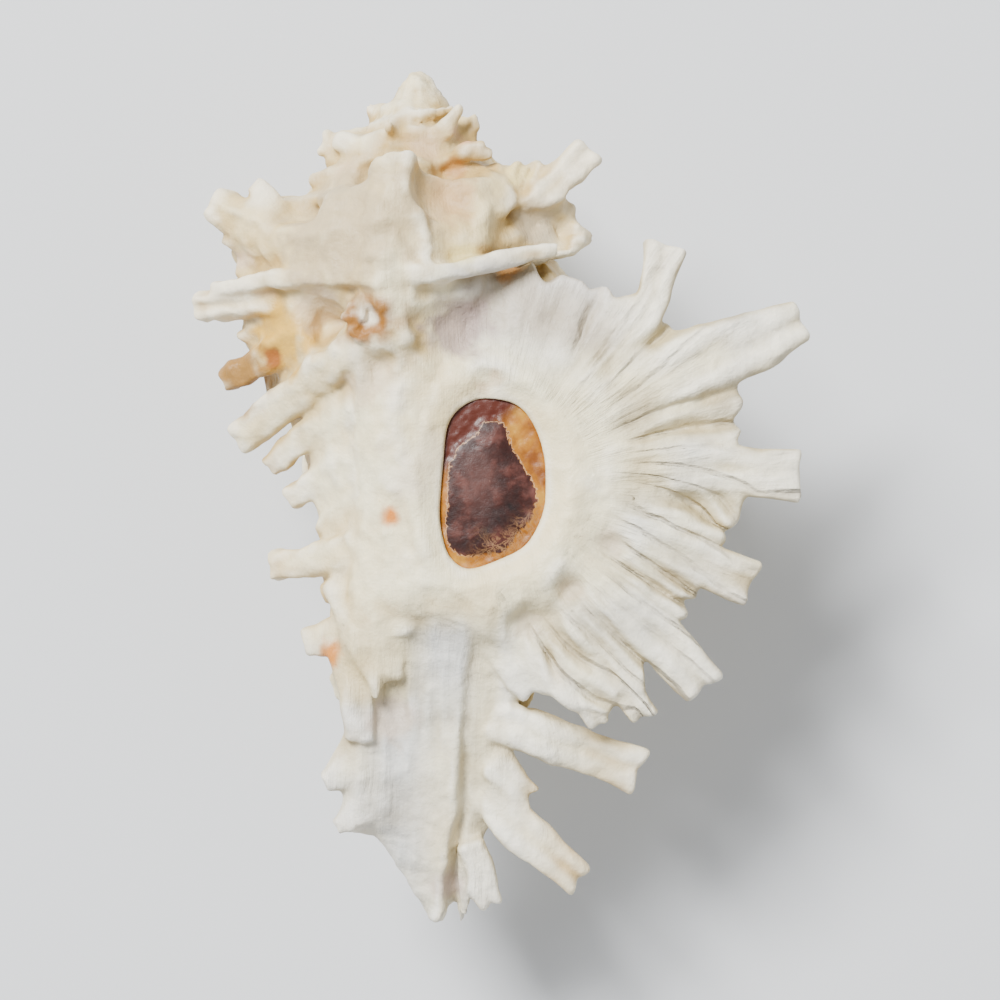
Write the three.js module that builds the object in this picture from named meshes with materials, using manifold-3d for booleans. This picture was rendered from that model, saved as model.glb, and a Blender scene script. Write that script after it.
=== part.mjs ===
// A murex shell lying on its back with the mouth up, and the horny operculum that closes the mouth.
// Millimetres. +Z is up, +Y points to the apex, +X to the outer lip.
// The shell coils to the right about an axis that runs along Y. Each whorl repeats the one before
// at twice the size, so one outline, swept round the axis and scaled, gives the spire and the body.
import * as THREE from 'three';
import { LoftGeometry } from 'three/addons/geometries/LoftGeometry.js';
import { mergeVertices } from 'three/addons/utils/BufferGeometryUtils.js';
import Module from 'manifold-3d';

const wasm = await Module();
wasm.setup();
const V = (x, y, z) => new THREE.Vector3(x, y, z);
const { lerp, degToRad } = THREE.MathUtils;

// ---- driving dimensions ----
const LENGTH = 50; // apex to the tip of the siphonal canal
const APEX = V(-5.0, LENGTH / 2, 0); // the apex, seen from above
const AXIS_LEAN = 0.026; // the axis drifts this far along X for each millimetre down from the apex
const AXIS_HEIGHT = 12.8; // axis above the surface the shell lies on
const WHORL_RATIO = 2; // growth of every size in one full turn
const LAST_TURN = 20; // degrees past the right-hand side, where the body runs into the mouth
const FIRST_TURN = -1560; // degrees of the first whorl
const WALL_STEP = 15; // degrees between two sections of the whorls
const MOUTH = V(-0.4, 0.8, AXIS_HEIGHT + 7.4); // centre of the mouth, at the top of its rim
const OPERCULUM_SINK = 0.9; // operculum face below the rim
const OPERCULUM_THICK = 0.8;
const FIT_GAP = 0.3; // between the operculum and the shell all round
const GROUND_REACH = 15.5; // axis to the tips of the dorsal fronds, before the ground wears them flat

// The outline of one whorl at full size: [distance from the axis, distance down from the apex].
const WHORL_OUTLINE = [
  [6.0, 10.4], [9.6, 10.6], [12.4, 11.4], [13.7, 13.8], [14.0, 17.4], [13.2, 22.0],
  [11.2, 26.6], [9.0, 30.6], [6.8, 34.8], [5.2, 38.6], [3.4, 41.6], [0.9, 42.4], [0.9, 20],
];

// Spiral cords stand out from the wall of the last turn at these distances down from the apex.
const CORDS = [11.2, 14.8, 18.2, 22.8, 27.0, 31.4, 35.2, 39.2];
const CORD_RISE = 0.8;

const growth = (turn) => WHORL_RATIO ** (turn / 360);

// A point at a turn round the axis: 0 is the right, 90 the mouth side, 180 the left, -90 underneath.
function around(turn, reach, down) {
  const a = degToRad(turn);
  return V(
    APEX.x + AXIS_LEAN * down + reach * Math.cos(a),
    APEX.y - down,
    AXIS_HEIGHT + reach * Math.sin(a),
  );
}

// Unit vector along the growth of the shell at a turn.
function onward(turn) {
  const a = degToRad(turn);
  return V(-Math.sin(a), 0, Math.cos(a));
}

// ---- from three.js geometry to a solid and back ----
function toSolid(geometry) {
  const bare = new THREE.BufferGeometry();
  bare.setAttribute('position', geometry.getAttribute('position'));
  if (geometry.index) bare.setIndex(geometry.index);
  const merged = mergeVertices(bare, 1e-4);
  const triVerts = new Uint32Array(merged.index.array);
  const mesh = () => new wasm.Mesh({
    numProp: 3, vertProperties: new Float32Array(merged.attributes.position.array), triVerts,
  });
  const made = new wasm.Manifold(mesh());
  if (made.volume() > 0) return made;
  for (let i = 0; i < triVerts.length; i += 3) {
    [triVerts[i + 1], triVerts[i + 2]] = [triVerts[i + 2], triVerts[i + 1]];
  }
  return new wasm.Manifold(mesh());
}

function toGeometry(solid) {
  const mesh = solid.getMesh();
  const geometry = new THREE.BufferGeometry();
  geometry.setAttribute('position', new THREE.BufferAttribute(new Float32Array(mesh.vertProperties), 3));
  geometry.setIndex(new THREE.BufferAttribute(mesh.triVerts, 1));
  geometry.computeVertexNormals();
  return geometry;
}

// A solid skinned over its sections, each turned to wind counterclockwise as seen from the far end.
function loft(sections) {
  const middle = (points) => points.reduce((sum, p) => sum.add(p), V(0, 0, 0)).divideScalar(points.length);
  const [first, second] = [middle(sections[0]), middle(sections[1])];
  const facing = V(0, 0, 0);
  sections[0].forEach((p, i, ring) => {
    facing.add(p.clone().sub(first).cross(ring[(i + 1) % ring.length].clone().sub(first)));
  });
  const wound = facing.dot(second.sub(first)) > 0 ? sections : sections.map((ring) => [...ring].reverse());
  return toSolid(new LoftGeometry(wound, { capStart: true, capEnd: true }));
}

const join = (solids) => wasm.Manifold.union(solids);

// The whorl's outer wall at a distance down from the apex, at full size.
function wallReach(down) {
  const low = Math.min(down, 41);
  const i = Math.max(1, WHORL_OUTLINE.findIndex(([, h]) => h > low));
  const [[r0, h0], [r1, h1]] = [WHORL_OUTLINE[i - 1], WHORL_OUTLINE[i]];
  return lerp(r0, r1, (low - h0) / (h1 - h0));
}

// The same outline with a ridge at each cord and a groove between.
function cordedOutline() {
  const wall = CORDS.flatMap((down, i) => {
    const ridge = [wallReach(down) + CORD_RISE, down];
    if (i === CORDS.length - 1) return [ridge];
    const between = (down + CORDS[i + 1]) / 2;
    return [ridge, [wallReach(between) - 0.1, between]];
  });
  return [WHORL_OUTLINE[0], WHORL_OUTLINE[1], ...wall, ...WHORL_OUTLINE.slice(-3)];
}

// ---- whorls ----
// The coil is swept in lengths of under a turn, so that no length runs into itself.
function whorls() {
  const made = [];
  const span = 300;
  for (let to = LAST_TURN; to > FIRST_TURN; to -= span) {
    const from = Math.max(to - span - WALL_STEP, FIRST_TURN);
    const step = growth(to) > 0.2 ? WALL_STEP : 2 * WALL_STEP;
    const count = Math.round((to - from) / step);
    const outline = growth(to) > 0.5 ? cordedOutline() : WHORL_OUTLINE;
    const sections = [];
    for (let i = 0; i <= count; i++) {
      const turn = lerp(from, to, i / count);
      const g = growth(turn);
      sections.push(outline.map(([r, h]) => around(turn, g * r, g * h)));
    }
    made.push(loft(sections));
  }
  // the pillar that the whorls wind round: [radius, down from the apex]
  const pillar = [[0, 0.7], [0.9, 1.2], [1.6, 9], [2.2, 24], [1.6, 40], [0, 42]];
  const core = new THREE.LatheGeometry(pillar.map(([r, h]) => new THREE.Vector2(r, h)), 10)
    .applyMatrix4(new THREE.Matrix4().makeScale(1, -1, 1))
    .translate(APEX.x + AXIS_LEAN * 20, APEX.y, AXIS_HEIGHT);
  const tip = new THREE.SphereGeometry(1.25, 12, 8).translate(APEX.x, APEX.y - 1.25, AXIS_HEIGHT);
  return [...made, toSolid(core), toSolid(tip)];
}

// ---- fronds: the flat, digit-like spines, with a cleft in the tip ----
// A frond runs from root to tip. Its flat side faces along `face`, and `bow` lifts its middle that way.
// A worn frond has lost its cleft.
function frond({ root, tip, wide, tipWide = wide, thick = 1.3, face, bow = 0, worn = false }) {
  const run = tip.clone().sub(root);
  const side = run.clone().cross(face).normalize();
  const up = side.clone().cross(run).normalize();
  const outline = [[1, 0], [0.6, 0.5], [0, 0.3], [-0.6, 0.5], [-1, 0], [-0.6, -0.5], [0.6, -0.5]];
  // [share of the length, share of the width, share of the thickness]; a waist, then a flared tip
  const stations = [[0, 1.1, 1], [0.35, 0.86, 0.95], [0.7, 0.84, 0.85], [1, 1.08, 0.6]];
  const cleft = worn ? 0 : 0.3 * tipWide;
  return loft(stations.map(([t, w, d]) => {
    const centre = root.clone().addScaledVector(run, t).addScaledVector(up, bow * Math.sin(Math.PI * t));
    const half = 0.5 * w * lerp(wide, tipWide, t);
    return outline.map(([u, v]) => {
      const back = t === 1 ? cleft * (1 - Math.abs(u)) / run.length() : 0;
      return centre.clone().addScaledVector(side, half * u).addScaledVector(up, v * d * thick)
        .addScaledVector(run, -back);
    });
  }));
}

// ---- varices: a flange across the whorl, with a frond at each spiral cord ----
// [down from the apex, reach, tip further down by, width], at full size; scaled to the varix's turn.
const CORD_FRONDS = [
  [11.8, 17.6, -1.0, 3.6], [18.2, 18.0, 0.8, 2.6], [22.8, 16.4, 1.6, 2.2], [27.0, 15.0, 2.2, 2.2],
  [31.4, 12.4, 1.4, 1.8], [35.2, 11.2, 1.2, 1.8], [40.0, 10.6, 1.0, 2.2],
];

function flange(turn, rise) {
  const g = growth(turn);
  const crest = WHORL_OUTLINE.slice(1, 10);
  const onwards = onward(turn);
  return loft(crest.map(([r, h], i) => {
    const out = rise * Math.sin(Math.PI * (i + 0.7) / (crest.length + 0.4));
    const corner = (reach, along) => around(turn, g * reach, g * h).addScaledVector(onwards, g * along);
    return [corner(r - 2.6, -1.6), corner(r + out, -0.5), corner(r + out, 0.4), corner(r - 2.6, 1.1)];
  }));
}

// fronds: [down, reach, further, width] in millimetres at the size of this varix
function varix(turn, fronds, rise = 1.6) {
  const g = growth(turn);
  const face = onward(turn);
  return [flange(turn, rise), ...fronds.map(([down, reach, further, wide]) => frond({
    root: around(turn, 0.72 * g * wallReach(down / g), down),
    tip: around(turn, reach, down + further),
    wide, face, thick: lerp(0.7, 1.3, g), worn: reach === GROUND_REACH,
  }))];
}

const scaled = (fronds, g) => fronds.map((row) => row.map((size) => size * g));

// The two varices on the back carry the shell: their body fronds all wear down to the same surface.
function dorsalVarix(turn) {
  const g = growth(turn);
  const fronds = scaled(CORD_FRONDS, g).map(([down, reach, further, wide], i) =>
    [down, i < 4 ? GROUND_REACH : reach, further, wide]);
  return varix(turn, fronds);
}

// The left-hand varix, [down, reach, further, width] in millimetres.
const LEFT_FRONDS = [
  [8.6, 11.9, -1.2, 2.2], [8.3, 9.7, -1.8, 1.2], [12.9, 12.9, 0.5, 1.7], [15.6, 11.9, 2.1, 1.8],
  [18.8, 10.7, 2.6, 1.7], [22.0, 8.8, 1.1, 1.3], [24.3, 7.8, 0.9, 1.3], [28.2, 8.9, 0.4, 1.8],
  [30.8, 5.8, 0.2, 1.6], [32.8, 7.0, 0.3, 1.6], [35.4, 5.4, 0.8, 2.0],
];

// Short stumps on the varix that faces up, beside the mouth.
const FRONT_FRONDS = [
  [7.6, 9.3, -1.4, 2.4], [14.0, 9.6, 0.2, 2.0], [18.0, 7.6, 0.4, 1.6], [22.5, 6.6, 0.4, 1.4],
  [26.0, 6.4, 0.4, 1.4],
];

// The varix behind the outer lip, one turn back, whose long fronds reach out above the mouth.
const UPPER_RIGHT_FRONDS = [[6.4, 10.3, -1.8, 1.7], [8.6, 10.3, 0.9, 1.3], [10.2, 8.0, 0.5, 1.5]];

function varices() {
  const made = [
    ...dorsalVarix(-60), ...dorsalVarix(-120), ...varix(-180, LEFT_FRONDS),
    ...varix(-256, FRONT_FRONDS, 1.2), ...varix(-350, UPPER_RIGHT_FRONDS, 1.2),
  ];
  // the spire keeps its older varices, worn to short fronds
  for (const turn of [-420, -485, -548, -610, -690, -745, -815, -890]) {
    const g = growth(turn);
    made.push(...varix(turn, scaled(CORD_FRONDS.slice(0, 2), g), 1.0));
  }
  return made;
}

// ---- the mouth: a raised rim on a smooth mound, and the flange of the outer lip ----
// [bearing in degrees from +X, reach from the mouth's centre, width at the web, width at the tip]
const LIP_FRONDS = [
  [54, 17.2, 3.4, 3.0], [28, 20.2, 5.6, 3.0], [2, 18.0, 4.6, 3.4], [-20.5, 16.5, 3.8, 3.0],
  [-43, 16.9, 3.6, 3.2], [-57, 15.9, 2.8, 2.2], [-66, 15.3, 2.4, 1.8],
];
// [bearing, reach] of the edge of the web between the fronds
const WEB_EDGE = [
  [92, 11.8], [80, 12.6], [68, 13.0], [59, 13.4], [41, 14.0], [37, 15.2], [20, 15.0], [11, 14.2], [-3, 14.3],
  [-15, 13.4], [-29, 13.2], [-38, 13.1], [-51, 13.9], [-66, 14.6], [-76, 12.4],
];
const PLEAT_SPACING = 13; // degrees between the folds that run out across the web
const LIP_DROP = 2.4; // the fronds' tips lie this far below the rim

function fromMouth(bearing, reach, z) {
  const a = degToRad(bearing);
  return V(MOUTH.x + reach * Math.cos(a), MOUTH.y + reach * Math.sin(a), z);
}

function mouthMound() {
  // [height below the rim, centre x, centre y, half width, half length]
  const levels = [
    [0.2, -0.4, 0.8, 4.6, 6.3], [1.4, -0.3, 0.8, 5.6, 7.3], [2.8, 0.1, 1.2, 7.2, 8.8],
    [4.6, 0.7, 1.8, 8.2, 10.2], [7.4, 0.9, 2.4, 8.2, 10.4], [10.5, 0.2, 3.0, 6.8, 8.4],
  ];
  const sides = 20;
  return loft(levels.map(([drop, x, y, a, b]) => Array.from({ length: sides }, (_, i) => {
    const t = (2 * Math.PI * i) / sides;
    return V(x + a * Math.cos(t), y + b * Math.sin(t), MOUTH.z - drop);
  })));
}

function rim() {
  const ring = new THREE.TorusGeometry(1, 0.2, 8, 28).scale(4.4, 6.2, 5);
  return toSolid(ring.translate(MOUTH.x, MOUTH.y, MOUTH.z - 1));
}

function webReach(bearing) {
  const i = Math.max(1, WEB_EDGE.findIndex((row) => row[0] <= bearing));
  const [[b0, r0], [b1, r1]] = [WEB_EDGE[i - 1], WEB_EDGE[i]];
  return lerp(r0, r1, (bearing - b0) / (b1 - b0));
}

function lipWeb() {
  const [start, end] = [WEB_EDGE[0][0], WEB_EDGE.at(-1)[0]];
  const count = Math.round((start - end) / (PLEAT_SPACING / 3));
  const top = MOUTH.z - 1.0;
  const sections = [];
  for (let i = 0; i <= count; i++) {
    const bearing = lerp(start, end, i / count);
    const pleat = bearing < 60 ? 0.5 * Math.cos((2 * Math.PI * (bearing - 2)) / PLEAT_SPACING) : 0;
    const edge = webReach(bearing);
    sections.push([
      fromMouth(bearing, 4.6, top), fromMouth(bearing, 8.5, top - 0.6 + pleat),
      fromMouth(bearing, edge, top - 1.6 + pleat), fromMouth(bearing, edge - 0.2, top - 2.3 + pleat),
      fromMouth(bearing, 9.5, top - 2.6), fromMouth(bearing, 4.6, top - 4.5),
    ]);
  }
  return loft(sections);
}

function lipFronds() {
  return LIP_FRONDS.map(([bearing, reach, wide, tipWide]) => frond({
    root: fromMouth(bearing, 7, MOUTH.z - 2.2), tip: fromMouth(bearing, reach, MOUTH.z - LIP_DROP - 0.4),
    wide, tipWide, thick: 1.7, face: V(0, 0, 1), bow: 0.3,
  }));
}

// ---- the siphonal canal: a broad, flattened tube with a slit, and its fronds ----
// [y, left edge, right edge, height of its face above the axis, thickness]
const CANAL = [
  [2, -9.4, 1.0, 3.0, 5.0], [-5, -9.2, 2.8, 4.9, 6.0], [-9, -8.7, 1.6, 4.5, 5.6], [-13, -8.9, 0.9, 3.7, 4.8],
  [-15.2, -9.3, 0.5, 3.2, 4.4], [-16.4, -10.2, 0.2, 2.9, 4.1], [-17.1, -8.9, 0.1, 2.7, 4.0],
  [-18.2, -8.5, -0.2, 2.4, 3.6], [-19.2, -9.3, -0.5, 2.2, 3.4], [-20, -7.2, -0.7, 2.0, 3.2],
  [-22.6, -5.5, -1.1, 1.3, 2.4], [-24.9, -4.3, -2.6, 0.7, 1.5],
];
// [root x, root y, tip x, tip y, width, tip width, drop of the tip]
const CANAL_FRONDS = [
  [-0.9, -13.0, 8.2, -16.1, 3.4, 2.8, 1.0], [-0.8, -16.4, 2.0, -17.5, 1.8, 1.4, 0.6],
  [-2.0, -17.5, 4.6, -22.3, 3.4, 2.1, 1.0], [-1.6, -21.6, -0.4, -24.0, 1.5, 1.4, 0.2],
  [-2.2, -21.6, -2.3, -24.8, 0.7, 0.5, 0.1],
];

function canal() {
  return loft(CANAL.map(([y, left, right, top, thick]) => {
    const z = AXIS_HEIGHT + top;
    const at = (share, height) => V(lerp(left, right, share), y, z + height * thick);
    return [
      at(0, -0.35), at(0.14, -0.12), at(0.4, 0), at(0.75, 0), at(0.94, -0.12),
      at(1, -0.4), at(0.8, -0.9), at(0.4, -1), at(0.16, -0.85),
    ];
  }));
}

function canalFronds() {
  const height = (y) => {
    const i = Math.max(1, CANAL.findIndex((row) => row[0] < y));
    const [a, b] = [CANAL[i - 1], CANAL[i]];
    return AXIS_HEIGHT + lerp(a[3], b[3], (y - a[0]) / (b[0] - a[0])) - 1;
  };
  return CANAL_FRONDS.map(([x0, y0, x1, y1, wide, tipWide, drop]) => frond({
    root: V(x0, y0, height(y0)), tip: V(x1, y1, height(y0) - drop),
    wide, tipWide, thick: 1.5, face: V(0, 0, 1), bow: 0.2,
  }));
}

function slit() {
  // [x, y, width, height above the axis of its floor]
  const run = [[-1.5, -6.6, 0.3, 4.0], [-2.0, -13, 0.45, 2.4], [-2.6, -20, 0.8, 0.8], [-3.1, -26, 1.1, -0.4]];
  return loft(run.map(([x, y, width, floor]) => {
    const [low, high] = [AXIS_HEIGHT + floor, AXIS_HEIGHT + floor + 6];
    const [left, right] = [x - width / 2, x + width / 2];
    return [V(left, y, low), V(right, y, low), V(right, y, high), V(left, y, high)];
  }));
}

// ---- the operculum, and the hollow that it closes ----
// Its outline: a D whose straight side is at the left and whose foot slants to a corner.
function operculumOutline(grow) {
  const middle = new THREE.Vector2(-0.4, 0.9);
  const corners = [
    [-3.65, -0.4], [-3.2, 4.3], [-0.9, 6.0], [1.4, 5.2], [2.65, 3.0], [2.8, 0.2],
    [1.3, -3.0], [-1.9, -4.15], [-3.2, -3.0],
  ].map(([x, y]) => {
    const p = new THREE.Vector2(x, y).sub(middle);
    return p.setLength(p.length() + grow).add(middle);
  });
  return new THREE.Shape(new THREE.SplineCurve([...corners, corners[0]]).getPoints(36).slice(0, -1));
}

function operculum() {
  const bevel = 0.25;
  const depth = OPERCULUM_THICK - 2 * bevel;
  const plate = new THREE.ExtrudeGeometry(operculumOutline(-bevel), {
    depth, bevelThickness: bevel, bevelSize: bevel, bevelSegments: 2, curveSegments: 1,
  });
  return plate.translate(0, 0, MOUTH.z - OPERCULUM_SINK - OPERCULUM_THICK + bevel);
}

// The hollow: a well the size of the operculum, over the start of the living chamber.
function hollow() {
  const floor = MOUTH.z - OPERCULUM_SINK - OPERCULUM_THICK - FIT_GAP;
  const well = new THREE.ExtrudeGeometry(operculumOutline(FIT_GAP), {
    depth: 6, bevelEnabled: false, curveSegments: 1,
  }).translate(0, 0, floor);
  // [x, y, z below the well, half width, half length]
  const chamber = [
    [-0.4, 0.9, -0.6, 2.3, 3.9], [0.6, 1.0, 2.4, 2.8, 4.6], [2.4, 1.6, 5.0, 2.9, 5.0], [4.0, 2.6, 8.0, 2.6, 4.6],
  ];
  const sides = 14;
  const room = loft(chamber.map(([x, y, below, a, b]) => Array.from({ length: sides }, (_, i) => {
    const t = (2 * Math.PI * i) / sides;
    return V(x + a * Math.cos(t), y + b * Math.sin(t), floor - below);
  })));
  return join([toSolid(well), room]);
}

// ---- assembly ----
function shell() {
  const body = join([
    ...whorls(), ...varices(), mouthMound(), rim(), lipWeb(), ...lipFronds(), canal(), ...canalFronds(),
  ]);
  const below = toSolid(new THREE.BoxGeometry(100, 100, 20).translate(0, 0, -10));
  return body.subtract(join([hollow(), slit(), below]));
}

const chalk = new THREE.MeshStandardMaterial({ color: 0xe9e5da, roughness: 0.75, metalness: 0 });
const horn = new THREE.MeshStandardMaterial({ color: 0x5a2f26, roughness: 0.35, metalness: 0 });

const group = new THREE.Group();
const shellMesh = new THREE.Mesh(toGeometry(shell()), chalk);
shellMesh.name = 'shell';
const operculumMesh = new THREE.Mesh(operculum(), horn);
operculumMesh.name = 'operculum';
group.add(shellMesh, operculumMesh);

// centre the shell over the origin, lying on Z = 0
const box = new THREE.Box3().setFromObject(group);
const centre = box.getCenter(V(0, 0, 0));
group.position.set(-centre.x, -centre.y, -box.min.z);

export default group;
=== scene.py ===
"""A murex shell lying on its back with the mouth up, closed by its horny operculum.

Sizes are in millimetres in the frame of the part: +Z up, +Y to the apex, +X to the outer lip.
The shell grew as one piece, so its parts are laid into one block of space as distance fields that
run into each other with soft fillets, and one closed surface is taken from the block.
"""
import math

import bpy
import numpy as np
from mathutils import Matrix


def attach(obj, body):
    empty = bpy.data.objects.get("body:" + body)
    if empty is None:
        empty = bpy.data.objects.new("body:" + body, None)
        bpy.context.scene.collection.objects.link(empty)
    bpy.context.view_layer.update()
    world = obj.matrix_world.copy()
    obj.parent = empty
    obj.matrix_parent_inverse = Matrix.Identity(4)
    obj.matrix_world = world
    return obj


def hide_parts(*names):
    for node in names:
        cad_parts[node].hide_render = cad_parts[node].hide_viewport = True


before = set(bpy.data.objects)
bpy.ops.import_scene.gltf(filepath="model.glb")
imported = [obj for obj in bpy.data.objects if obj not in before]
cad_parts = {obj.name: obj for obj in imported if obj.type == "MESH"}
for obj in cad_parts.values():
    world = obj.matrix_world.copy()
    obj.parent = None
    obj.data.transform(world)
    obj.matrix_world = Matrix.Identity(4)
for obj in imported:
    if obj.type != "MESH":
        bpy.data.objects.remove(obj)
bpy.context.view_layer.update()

import openvdb as vdb
from mathutils import Vector

bl_info = {
    "name": "Murex shell",
    "version": (1, 0, 0),
    "blender": (4, 5, 0),
    "location": "3D Viewport > Sidebar > Murex",
    "description": "Models a murex shell, its operculum and a studio to look at it in",
    "category": "Add Mesh",
}

MM = 0.001  # metres in a millimetre

# ---- driving dimensions, in millimetres ----
APEX = np.array([-5.0, 25.0])  # the apex, seen from above
AXIS_LEAN = 0.026  # drift of the coil axis along X for each millimetre down from the apex
AXIS_HEIGHT = 12.8  # coil axis above the ground
MOUTH = np.array([-0.4, 0.8])  # centre of the mouth
RIM_TOP = 20.2  # top of the rim above the ground
OPERCULUM_TOP = 19.3  # face of the operculum above the ground
LAST_TURN = 22.0  # degrees past the right-hand side, where the body runs into the mouth
DESCENT = 2.6  # drop of the last half turn below the shape of the older whorls
OLDEST_WHORL = -4  # whole turns back to the first whorl that shows
SPACE_LOW = np.array([-18.8, -25.8, -0.9])
SPACE_HIGH = np.array([18.8, 25.8, 23.6])
FAR = 4.0  # distance stored where nothing is near

# The outline of one whorl at full size: distance from the axis, distance down from the apex.
WHORL_OUTLINE = [
    (6.0, 10.4), (9.6, 10.6), (12.4, 11.4), (13.7, 13.8), (14.0, 17.4), (13.2, 22.0),
    (11.2, 26.6), (8.8, 30.6), (6.2, 34.8), (4.4, 38.6), (3.0, 41.6), (0.9, 42.4), (0.9, 20.0),
]
CORDS = [11.2, 14.8, 18.2, 22.8, 27.0, 31.4, 35.2, 39.2]  # down from the apex, at full size
DORSAL_VARICES = [-60, -120]  # turns of the varices on the back, whose fronds carry the shell
SPIRE_VARICES = [-420, -485, -548, -610, -690, -745, -815, -890]
VARICES = [*DORSAL_VARICES, -180, -256, -350, *SPIRE_VARICES]
GROUND_REACH = 15.5  # axis to the tips of the dorsal fronds before the ground wears them flat
OPERCULUM_THICK = 0.8  # at its edge
OPERCULUM_DOME = 0.3  # rise of its core
WELL_DEPTH = 2.6  # floor of the well under the operculum's face
OPERCULUM_MARKS = ("core", "edge", "flaky", "red", "sheen")  # what its vertices carry for its material
EDGE_GAP = 0.1  # between the operculum's edge and the wall of the well
RIM_LAP = 0.3  # how far the rim comes in over the well's wall at the operculum's face
SHELTER_TRIES = 8  # directions in which the paint looks for shelter

# ---- colours that aren't settings, sRGB hex ----
UPPER_WEB_HEX = "#b8ac98"  # the thin web above the mouth
WARM_SHADE_HEX, COOL_SHADE_HEX = "#d2bf9a", "#cbc2b0"  # hollows of the body, and of the lip and canal
SKY_HEX = "#f2f4f8"

# ---- the studio, in metres unless MM says otherwise ----
FLOOR_SIZE = 6.0
LIT_POINT = (0, 0, 0.012)  # where the lamps aim
# Lamps: name, place, size, watts.
LAMPS = [
    ("key", (-0.29, 0.35, 0.60), 0.25, 15.6), ("fill", (0.6, -0.2, 0.5), 0.6, 1.4),
    ("low", (-0.5, -0.5, 0.3), 0.5, 0.5),
]
SKY_STRENGTH = 0.62
SENSOR_WIDTH = 36.0  # mm
VIEW_WIDTH, LIP_HEIGHT = 58.4, 16  # mm of the shell seen across the view, and the height where it is measured


# ---- small helpers ----
def smooth(value, low, high):
    """0 below low, 1 above high, with a soft step between."""
    t = np.clip((value - low) / (high - low), 0, 1)
    return t * t * (3 - 2 * t)


def closed_curve(points, count):
    """Points along a smooth closed curve through the given ones."""
    points = np.array(points, float)
    n = len(points)
    t = np.linspace(0, n, count, endpoint=False)
    i = t.astype(int)
    f = (t - i)[:, None]
    a, b, c, d = (points[(i + k) % n] for k in (-1, 0, 1, 2))
    return 0.5 * (2 * b + (c - a) * f + (2 * a - 5 * b + 4 * c - d) * f**2 + (3 * b - a - 3 * c + d) * f**3)


def depth_inside(x, y, ring):
    """How far each place lies inside a closed outline; negative outside."""
    best, inside = np.full(x.shape, np.inf), np.zeros(x.shape, bool)
    for (x0, y0), (x1, y1) in zip(ring, np.roll(ring, -1, axis=0)):
        dx, dy = x1 - x0, y1 - y0
        t = np.clip(((x - x0) * dx + (y - y0) * dy) / (dx * dx + dy * dy), 0, 1)
        best = np.minimum(best, np.hypot(x - x0 - t * dx, y - y0 - t * dy))
        inside ^= ((y0 > y) != (y1 > y)) & (x < x0 + (y - y0) * dx / (dy or 1e-9))
    return np.where(inside, best, -best)


def rising(rows):
    """The columns of a table whose first column falls, turned round for interpolation."""
    return np.array(rows, float)[::-1].T


def blend_corners(values, cell, share):
    """Values of a block at places between its cells, blended from the eight corners round each."""
    total = 0
    for corner in np.ndindex(2, 2, 2):
        i, j, k = ((cell + corner) % values.shape).T
        total = total + np.prod(np.where(corner, share, 1 - share), axis=1) * values[i, j, k]
    return total


class Noise:
    """Smooth random values in space, from -1 to 1, from one seeded lattice."""

    SIDE = 64

    def __init__(self, seed):
        self.lattice = np.random.default_rng(seed).uniform(-1, 1, (self.SIDE,) * 3).astype(np.float32)

    def __call__(self, points, size):
        place = points / size
        cell = np.floor(place).astype(int)
        return blend_corners(self.lattice, cell, smooth(place - cell, 0, 1))


def soft_min(a, b, k):
    """The lower of two values, blended where they are within k of each other."""
    h = np.clip(0.5 + 0.5 * (b - a) / k, 0, 1)
    return b + (a - b) * h - k * h * (1 - h)


class Clay:
    """A block of space holding the distance to the shell's surface, negative inside."""

    def __init__(self, step):
        self.step = step
        count = np.ceil((SPACE_HIGH - SPACE_LOW) / step).astype(int) + 1
        self.field = np.full(count, FAR, np.float32)

    def _window(self, low, high):
        """The cells between two corners, and their places along each axis."""
        low = np.maximum(((np.array(low) - SPACE_LOW) / self.step).astype(int), 0)
        high = np.minimum(((np.array(high) - SPACE_LOW) / self.step).astype(int) + 2, self.field.shape)
        cut = tuple(slice(a, b) for a, b in zip(low, high))
        axes = [(SPACE_LOW[k] + self.step * np.arange(low[k], high[k])).astype(np.float32) for k in range(3)]
        return cut, (axes[0][:, None, None], axes[1][None, :, None], axes[2][None, None, :])

    def add(self, low, high, shape, soft=0.6):
        cut, (x, y, z) = self._window(low, high)
        self.field[cut] = soft_min(self.field[cut], shape(x, y, z), soft)

    def cut(self, low, high, shape, soft=0.3):
        cut, (x, y, z) = self._window(low, high)
        self.field[cut] = -soft_min(-self.field[cut], shape(x, y, z), soft)

    def sample(self, points):
        """The field at points."""
        place = np.clip((points - SPACE_LOW) / self.step, 0, np.array(self.field.shape) - 1.001)
        cell = place.astype(int)
        return blend_corners(self.field, cell, place - cell)

    def surface(self):
        """Vertices and quads of the surface, after a light blur that takes the beads off narrow grooves."""
        for axis in range(3):
            ahead, behind = np.roll(self.field, -1, axis), np.roll(self.field, 1, axis)
            self.field = 0.5 * self.field + 0.25 * (ahead + behind)
        grid = vdb.FloatGrid(FAR)
        grid.copyFromArray(self.field)
        points, quads = grid.convertToQuads(isovalue=0.0)
        return points * self.step + SPACE_LOW, quads


# ---- the coil ----
def growth(turn):
    return 2.0 ** (turn / 360)


def descent(turn):
    """How far the last half turn drops below the shape of the older whorls."""
    return DESCENT * smooth(turn, -150, -10)


def axis_x(down):
    return APEX[0] + AXIS_LEAN * down


def around(turn, reach, down):
    """A point at a turn: 0 is the right, 90 the mouth side, 180 the left, -90 underneath."""
    a = math.radians(turn)
    return (axis_x(down) + reach * math.cos(a), APEX[1] - down, AXIS_HEIGHT + reach * math.sin(a))


TABLE_STEP = 0.1  # spacing of the table of distances to the whorl's outline
TABLE_FIRST, TABLE_LAST = 6, 46  # down from the apex, at full size
CURVE_POINTS = 140  # along the whorl's outline
CORD_WIDTH = 0.85


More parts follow.
